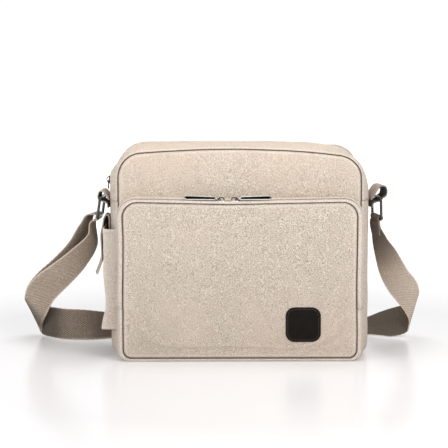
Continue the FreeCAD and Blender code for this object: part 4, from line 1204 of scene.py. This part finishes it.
class RingPlace:
    """Where a strap ring hangs: its upper bar's middle, its bar direction and its hang."""

    def __init__(self, joint, side, tilt):
        self.pivot = Vector(JOINTS[joint]["pos_m"])
        self.bar = Vector(JOINTS[joint]["axis"]) * (1 if JOINTS[joint]["axis"][1] > 0 else -1)
        outward = Vector((side, 0, 0))
        outward = (outward - self.bar * outward.dot(self.bar)).normalized()
        self.hang = (Vector((0, 0, -1)) * math.cos(tilt) + outward * math.sin(tilt)).normalized()
        self.outward = (outward * math.cos(tilt) + Vector((0, 0, 1)) * math.sin(tilt)).normalized()

    def at(self, along_bar, out, down):
        return tuple(self.pivot + self.bar * along_bar + self.outward * out + self.hang * down)


RING_DROP, RING_SPAN, RING_WIRE = 25.5 * MM, 45 * MM, 1.8 * MM
LEFT_RING = RingPlace("ring_left_swing", -1, math.radians(8))
RIGHT_RING = RingPlace("ring_right_swing", 1, math.radians(1.5))


def strap_ring(name, place, body):
    """A rectangular ring of round wire with rounded corners."""
    outline = rounded_rectangle(RING_SPAN, RING_DROP, 3.4 * MM, 8)
    dense = evenly(np.stack([outline[:, 0], outline[:, 1], np.zeros(len(outline))], axis=1), 1.5 * MM)
    path = [place.at(x, 0, RING_DROP / 2 - z) for x, z, _ in dense]
    points, faces = tube(np.array(path), RING_WIRE, 12, closed=True, up=tuple(place.outward))
    piece = mesh_piece(name, points, faces)
    hard(piece, HARDWARE, body, [body])


def around_bar(place, start, stop, steps):
    """Stations of webbing that turns round a ring's lower bar, between two angles.
    The angle is 0 outward from the bar and 90 below it."""
    radius = RING_WIRE + 0.1 * MM + STRAP_THICK / 2
    half = STRAP_WIDTH / 2
    stations = []
    for angle in np.radians(np.linspace(start, stop, steps)):
        out, down = radius * math.cos(angle), RING_DROP + radius * math.sin(angle)
        stations.append((place.at(-half, out, down), place.at(half, out, down)))
    return stations


def strap():
    """The strap: its long run in two pieces that meet under the buckle, its doubled layer, its
    end folded round the right ring and stitched down."""
    left_run = in_metres(LEFT_RUN + STRAIGHT)
    back = raised(in_metres(LEFT_RUN[1:]), [gap * MM for gap in RETURN_GAPS])
    ring_turn = around_bar(LEFT_RING, 100, -100, 7)
    lead_in = [(LEFT_RING.at(-STRAP_WIDTH / 2, 5.5 * MM, RING_DROP + 4.5 * MM),
                LEFT_RING.at(STRAP_WIDTH / 2, 5.0 * MM, RING_DROP + 4.9 * MM))]
    lead_out = [(LEFT_RING.at(-STRAP_WIDTH / 2, 9.0 * MM, RING_DROP - 3.2 * MM),
                 LEFT_RING.at(STRAP_WIDTH / 2, 7.0 * MM, RING_DROP - 2.4 * MM))]
    stations = left_run[::-1][:-1] + lead_in + ring_turn + lead_out + back
    # Its darker side and the darkening near the ring are painted shade.
    left = strap_piece("strap_left", stations, ["strap_main", "strap_turn_left", "strap_return"],
                       step=2.2 * MM, dark_side=1, dark=0.2, ring_shade=0.25)
    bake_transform(left)

    right_run = in_metres(RIGHT_RUN)
    fold = around_bar(RIGHT_RING, 95, -170, 9)
    tail = [(RIGHT_RING.at(-STRAP_WIDTH / 2, -1.7 * MM, RING_DROP + drop * MM),
             RIGHT_RING.at(STRAP_WIDTH / 2, -1.7 * MM, RING_DROP + drop * MM)) for drop in (6, 14, 22)]
    # This strap is lightened evenly as painted light; its darker side and the darkening near its ring are
    # painted shade.
    right = strap_piece("strap_right", right_run + fold + tail, ["strap_end_right"],
                        step=2.2 * MM, dark_side=-1, dark=0.2, ring_shade=0.72,
                        fresh=0.22)
    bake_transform(right)


# ------------------------------------------------------------------ tabs, side pocket, buckle

def strap_tab(name, node, place, side, outer, apex, stripes):
    """The stiff loop that holds a ring: up from the side seam, over, and back under the bar."""
    x, z = abs(place.pivot.x) / MM, place.pivot.z / MM
    route = [(163.4, 184.6), (165.0, z - 7.0), (x - 2.0, z - 4.7), (x + 1.6, z - 3.6),
             (x + 3.6, z - 0.9), (outer - 0.8, z + 2.4),
             ((apex[0] + outer) / 2 + 1.2, apex[1] - 0.8), (apex[0] + 0.4, apex[1] - 0.6),
             (166.6, z + 4.6), (164.2, z + 1.0), (162.6, z - 3.0)]
    half = 17 * MM
    stations = []
    for out, height in route:
        reach = (out - x) * MM
        centre = place.pivot + Vector((side * reach, 0, (height - z) * MM))
        stations.append((tuple(centre - place.bar * half), tuple(centre + place.bar * half)))
    # The loop's inner side is darkened as painted shade.
    piece, length = band(name, stations, 34 * MM, 1.7 * MM, step=1.2 * MM, cuts=40, dark_side=side,
                         dark=0.9, stripes=stripes)
    piece.data.materials.append(TAB_WEB)
    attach(piece, BAG)
    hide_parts(node)


SIDE_PROFILE = [(160.0, -170.2), (150.0, -170.3), (130.0, -170.2), (104.0, -170.0), (90.0, -168.8),
                (74.0, -167.2), (62.0, -167.4), (52.0, -169.6), (43.0, -172.0), (34.6, -173.0)]


def side_pocket():
    """The open pocket on the left side: waisted, with a turned hem above and a curled one below."""
    heights = np.array([row[0] for row in SIDE_PROFILE])[::-1]
    reach = np.array([row[1] for row in SIDE_PROFILE])[::-1]
    rows = spaced(34.8, 160.0, 1.0, 3.4, 5.0)
    grid, shade, wear = [], [], []
    for height in rows:
        outer = np.interp(height, heights, reach)
        half, bend = 39.6, 4.5
        seam = -(162 - 11.5 * (half / 45) ** 2) + 0.6
        path = [(seam, -half)] + [(x, -half - 0.35 * math.sin(math.pi * (x - seam) / (outer + bend - seam)))
                                  for x in np.linspace(seam, outer + bend, 8)[1:]]
        angles = np.radians(np.linspace(0, 90, 7))[1:]
        path += [(outer + bend - bend * math.sin(angle), -half + bend - bend * math.cos(angle))
                 for angle in angles]
        path += [(outer - 0.8 * math.cos(math.pi * y / 2 / (half - bend)), y)
                 for y in np.linspace(-half + bend, half - bend, 25)[1:-1]]
        path += [(x, -y) for x, y in path[::-1] if abs(y) >= half - bend - 1e-6]
        row = np.array([(x * MM, y * MM, height * MM) for x, y in path])
        grid.append(row)
        low_edge, high_edge = (height - rows[0]) * MM, (rows[-1] - height) * MM
        shade.append(np.full(len(path), 0.5 * math.exp(-(low_edge / (1.2 * MM)) ** 2)))
        wear.append(np.full(len(path), math.exp(-((high_edge - 1.0 * MM) / (1.2 * MM)) ** 2)
                            + math.exp(-((low_edge - 1.5 * MM) / (1.4 * MM)) ** 2)))
    grid = np.array(grid)
    normal = grid_normals(grid)
    if normal[len(rows) // 2, grid.shape[1] // 2, 0] > 0:
        grid = grid[:, ::-1]
        normal = grid_normals(grid)
    wave = ripple(grid, 30 * MM, 6.6) + 0.5 * ripple(grid, 13 * MM, 1.9)
    grid = grid + normal * (wave * 0.7 * MM)[..., None]
    # The hem ridges are lightened, partly wear and partly painted highlight; the front half is lightened
    # evenly as painted light.
    wear = 0.6 * np.array(wear) + 0.6 * (1 - smooth(-40 * MM, 0, grid[..., 1]))
    piece = grid_piece("side_pocket_cloth", settle(grid), shade=np.array(shade), wear=wear)
    cloth(piece, CANVAS, replaced=["side_pocket"],
          thickness=1.5 * MM)
    hem_row = int(np.argmin(np.abs(rows - 154.5)))
    path = evenly(settle(grid)[hem_row], 1.5 * MM)
    lift = np.zeros_like(path)
    lift[:, 0] = -1
    outline_normal = normal[hem_row]
    for axis in range(3):
        lift[:, axis] = np.interp(lengths(path), lengths(grid[hem_row]), outline_normal[:, axis])
    thread_piece("side_pocket_stitches", [stitch_row(path, lift, pitch=3.4 * MM, radius=0.4 * MM)])


def pocket_mouth_shade():
    """A dark sheet that stands across the rear of the side pocket's mouth: painted shade for the shadow
    inside the pocket.
    """
    rows = np.linspace(146, 172, 14)
    grid = []
    for height in rows:
        narrow = 1.6 * float(smooth(162, 172, height))
        x = np.linspace(-163.0 - narrow, -173.2 + 2.2 * narrow, 9)
        y = 21 + 3.0 * np.sin((x + 163) / 10.2 * math.pi) + 0.06 * (height - 146)
        grid.append(np.stack([x, y, np.full(9, height)], axis=1) * MM)
    piece = grid_piece("side_pocket_mouth_shade", np.array(grid))
    # It takes the near-black hook tape cloth, as painted shade.
    cloth(piece, HOOK_TAPE_AND_SHADE, replaced=["side_pocket"],
          thickness=0.8 * MM)


def closing_tab():
    """A canvas strip sewn above the side pocket; its free end hangs over the pocket's mouth."""
    route = [(-162.6, 151.0), (-163.4, 162.0), (-163.6, 170.5), (-164.6, 174.6), (-167.0, 175.4),
             (-169.3, 172.2), (-171.6, 162.0), (-173.8, 152.0), (-174.0, 140.0), (-174.0, 126.0),
             (-174.6, 117.0), (-177.2, 109.0), (-180.6, 100.2)]
    half = 12 * MM
    stations = []
    for x, z in route:
        turn = 1.3 * MM * float(1 - smooth(110, 150, z)) * (x < -170)
        stations.append(((x * MM - turn, half, z * MM), (x * MM + turn, -half, z * MM)))
    piece, length = band("side_tab_cloth", stations, 24 * MM, 2.0 * MM, step=1.8 * MM, dark_side=-1,
                         dark=0.8)
    piece.data.materials.append(TAB_WEB)
    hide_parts("side_tab_foot", "side_tab")
    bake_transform(piece)
    for node in ("side_tab_hooks", "side_tab_loops"):
        paint(node, HOOK_TAPE_AND_SHADE)


def buckle():
    """A cast three-bar slide: rounded rails and bars."""
    low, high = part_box("strap_buckle")
    pair = [Vector(edge) * MM for edge in LEFT_RUN[-1]]
    across = (pair[0] - pair[1]).normalized()
    normal = Vector((1, 0, 0)).cross(across)
    middle = (pair[0] + pair[1]) / 2
    matrix = Matrix(((1, 0, 0), tuple(across), tuple(normal))).transposed().to_4x4()
    matrix.translation = Vector(((low.x + high.x) / 2, middle.y, middle.z))
    half_length, half_width = 13 * MM, 20.6 * MM
    bottom, top = -3.35 * MM, 5.2 * MM
    parts = []
    for side in (-1, 1):
        rail = rounded_rectangle(2 * half_length, 2.3 * MM, 0.9 * MM, 4)
        rail = rail + (0, side * (half_width + 1.2 * MM))
        parts.append(turned_plate(rail, [(0.4 * MM, bottom + 0.1 * MM), (0.0, bottom + 0.6 * MM),
                                         (0.0, top - 0.6 * MM), (0.4 * MM, top - 0.05 * MM)]))
    reach = half_width + 1.0 * MM
    for x, level in ((1.1 * MM - half_length, bottom + 1.15 * MM), (0.0, top - 1.2 * MM),
                     (half_length - 1.1 * MM, bottom + 1.15 * MM)):
        parts.append(tube(np.array([(x, y, level) for y in np.linspace(-reach, reach, 9)]), 1.08 * MM, 12))
    piece = mesh_piece("buckle_cast", *placed(gathered(parts), matrix))
    hard(piece, HARDWARE, "strap_buckle", ["strap_buckle"])


def paint(node, material):
    """Gives a CAD node that stays in view, or inside, its finished material."""
    slots = NODES[node].data.materials
    slots.clear()
    slots.append(material)


def insides():
    lining_bag("main_lining", body_section, -HALF_DEPTH + 5 * MM, HALF_DEPTH - 8.5 * MM, 4.6 * MM,
               SEAM_HEIGHT, "lining")
    lining_bag("front_lining", pocket_section, -POCKET_FRONT + 3.4 * MM, -HALF_DEPTH - 4.4 * MM,
               5.6 * MM, POCKET_ZIP_END, "pocket_lining")
    paint("divider", LINING)
    paint("back_foam", FOAM)
    paint("base_board", BOARD)
    for node in ("main_zip_stops", "pocket_zip_stops"):
        paint(node, HARDWARE)
    paint("strap_return_end", WEBBING)


def seam_stitches():
    """The rows that hold the gusset's ends down, on both sides, and the strap's folded end."""
    rows = []
    for side in (-1, 1):
        for drop in (6.5 * MM, 9.0 * MM):
            z = SEAM_HEIGHT - drop
            depths = [depth for depth in np.linspace(-HALF_DEPTH + 4 * MM, HALF_DEPTH - 4 * MM, 60)
                      if abs(depth) > 19 * MM]
            for half in (-1, 1):
                part = [depth for depth in depths if depth * half > 0]
                path = np.array([(side * (body_section(depth).half + 0.5 * MM), depth, z) for depth in part])
                outward = np.tile((float(side), 0.0, 0.0), (len(path), 1))
                rows.append(stitch_row(settle(path), outward, pitch=3.1 * MM, radius=0.34 * MM))
    thread_piece("gusset_end_stitches", rows)
    rows = []
    for drop in (11 * MM, 18 * MM):
        path = np.array([RIGHT_RING.at(y, 2.75 * MM, RING_DROP + drop)
                         for y in np.linspace(-16 * MM, 16 * MM, 12)])
        outward = np.tile(tuple(RIGHT_RING.outward), (len(path), 1))
        rows.append(stitch_row(path, outward, pitch=2.8 * MM, radius=0.34 * MM))
    thread_piece("strap_end_stitches", rows, body="ring_right")


# ------------------------------------------------------------------ camera, floor and light

CAMERA_PLACE, CAMERA_TARGET = (-0.0194, -2.070, 0.400), (-0.0194, -0.070, 0.17035)
CAMERA_LENS, CAMERA_ROLL = 132.7, -0.1        # millimetres on a 36 mm sensor; degrees


def point_at(obj, target):
    direction = Vector(target) - obj.location
    obj.rotation_euler = direction.to_track_quat("-Z", "Y").to_euler()


def backdrop(tree):
    """White all round the horizon, dimmer overhead, where the soft boxes hang."""
    place = tree.nodes.new("ShaderNodeTexCoord")
    split = tree.nodes.new("ShaderNodeSeparateXYZ")
    level = tree.nodes.new("ShaderNodeMapRange")
    level.interpolation_type = "SMOOTHSTEP"
    for socket, value in (("From Min", 0.20), ("From Max", 0.36), ("To Min", 1.04), ("To Max", 0.32)):
        level.inputs[socket].default_value = value
    tree.links.new(place.outputs["Generated"], split.inputs["Vector"])
    tree.links.new(split.outputs["Z"], level.inputs["Value"])
    tree.links.new(level.outputs["Result"], tree.nodes["Background"].inputs["Strength"])
    tree.nodes["Background"].inputs["Color"].default_value = (1, 0.995, 0.99, 1)


def studio():
    scene = bpy.context.scene
    camera_data = bpy.data.cameras.new("camera")
    camera = bpy.data.objects.new("camera", camera_data)
    scene.collection.objects.link(camera)
    camera.location = CAMERA_PLACE
    point_at(camera, CAMERA_TARGET)
    camera.rotation_euler.rotate_axis("Z", math.radians(CAMERA_ROLL))
    camera_data.sensor_width = 36
    camera_data.lens = CAMERA_LENS
    scene.camera = camera

    floor = mesh_piece("floor", [(-4, -4, -0.0002), (4, -4, -0.0002), (4, 4, -0.0002), (-4, 4, -0.0002)],
                       [(0, 1, 2, 3)])
    nodes = Nodes("floor")
    haze = nodes.between(nodes.noise(6, 2, 0.5), 0.2, 0.28)
    nodes.join(haze, nodes.shader.inputs["Roughness"])
    spread = nodes.add("ShaderNodeVectorMath", operation="LENGTH")
    nodes.join(nodes.place(), spread.inputs[0])
    far = nodes.stretched(spread.outputs["Value"], 0.4, 1.3)
    nodes.join(nodes.between(far, 0.12, 0.75), nodes.shader.inputs["Emission Strength"])
    nodes.set(Base_Color=(0.84, 0.835, 0.85, 1), Emission_Color=(1, 0.995, 1, 1))
    floor.data.materials.append(nodes.material)

    world = bpy.data.worlds.new("studio")
    scene.world = world
    world.use_nodes = True
    backdrop(world.node_tree)
    for name, place, size, power, tint in (
            ("key", (0.62, -0.95, 1.0), 0.6, 6.2, (1, 0.985, 0.965)),
            ("fill", (-1.5, -1.0, 0.7), 0.9, 5.5, (0.98, 0.985, 1)),
            ("glint_left", (-0.9, -1.7, 0.75), 0.14, 2.2, (1, 0.99, 0.98)),
            ("glint_right", (0.95, -1.5, 0.95), 0.14, 2.2, (1, 0.99, 0.98)),
            ("top", (0.0, -0.05, 1.3), 0.9, 8, (1, 0.995, 0.985))):
        light_data = bpy.data.lights.new(name, "AREA")
        light_data.energy = power
        light_data.size = size
        light_data.color = tint
        light = bpy.data.objects.new(name, light_data)
        light.location = place
        scene.collection.objects.link(light)
        point_at(light, (0, 0, 0.12))
    scene.view_settings.view_transform = "Standard"


studio()
main_compartment()
front_pocket()
zip_chain("main", body_section, -CHAIN_HALF, CHAIN_HALF, SEAM_HEIGHT,
          "main_zip_half_front", "main_zip_half_rear")
badge()
sliders_and_pulls()
strap()
strap_ring("ring_left_wire", LEFT_RING, "ring_left")
strap_ring("ring_right_wire", RIGHT_RING, "ring_right")
strap_tab("tab_left_loop", "strap_tab_left", LEFT_RING, -1, 176.5, (168.9, 206.0), 0)
strap_tab("tab_right_loop", "strap_tab_right", RIGHT_RING, 1, 181.4, (174.5, 212.0), 3)
side_pocket()
pocket_mouth_shade()
closing_tab()
buckle()
seam_stitches()
insides()
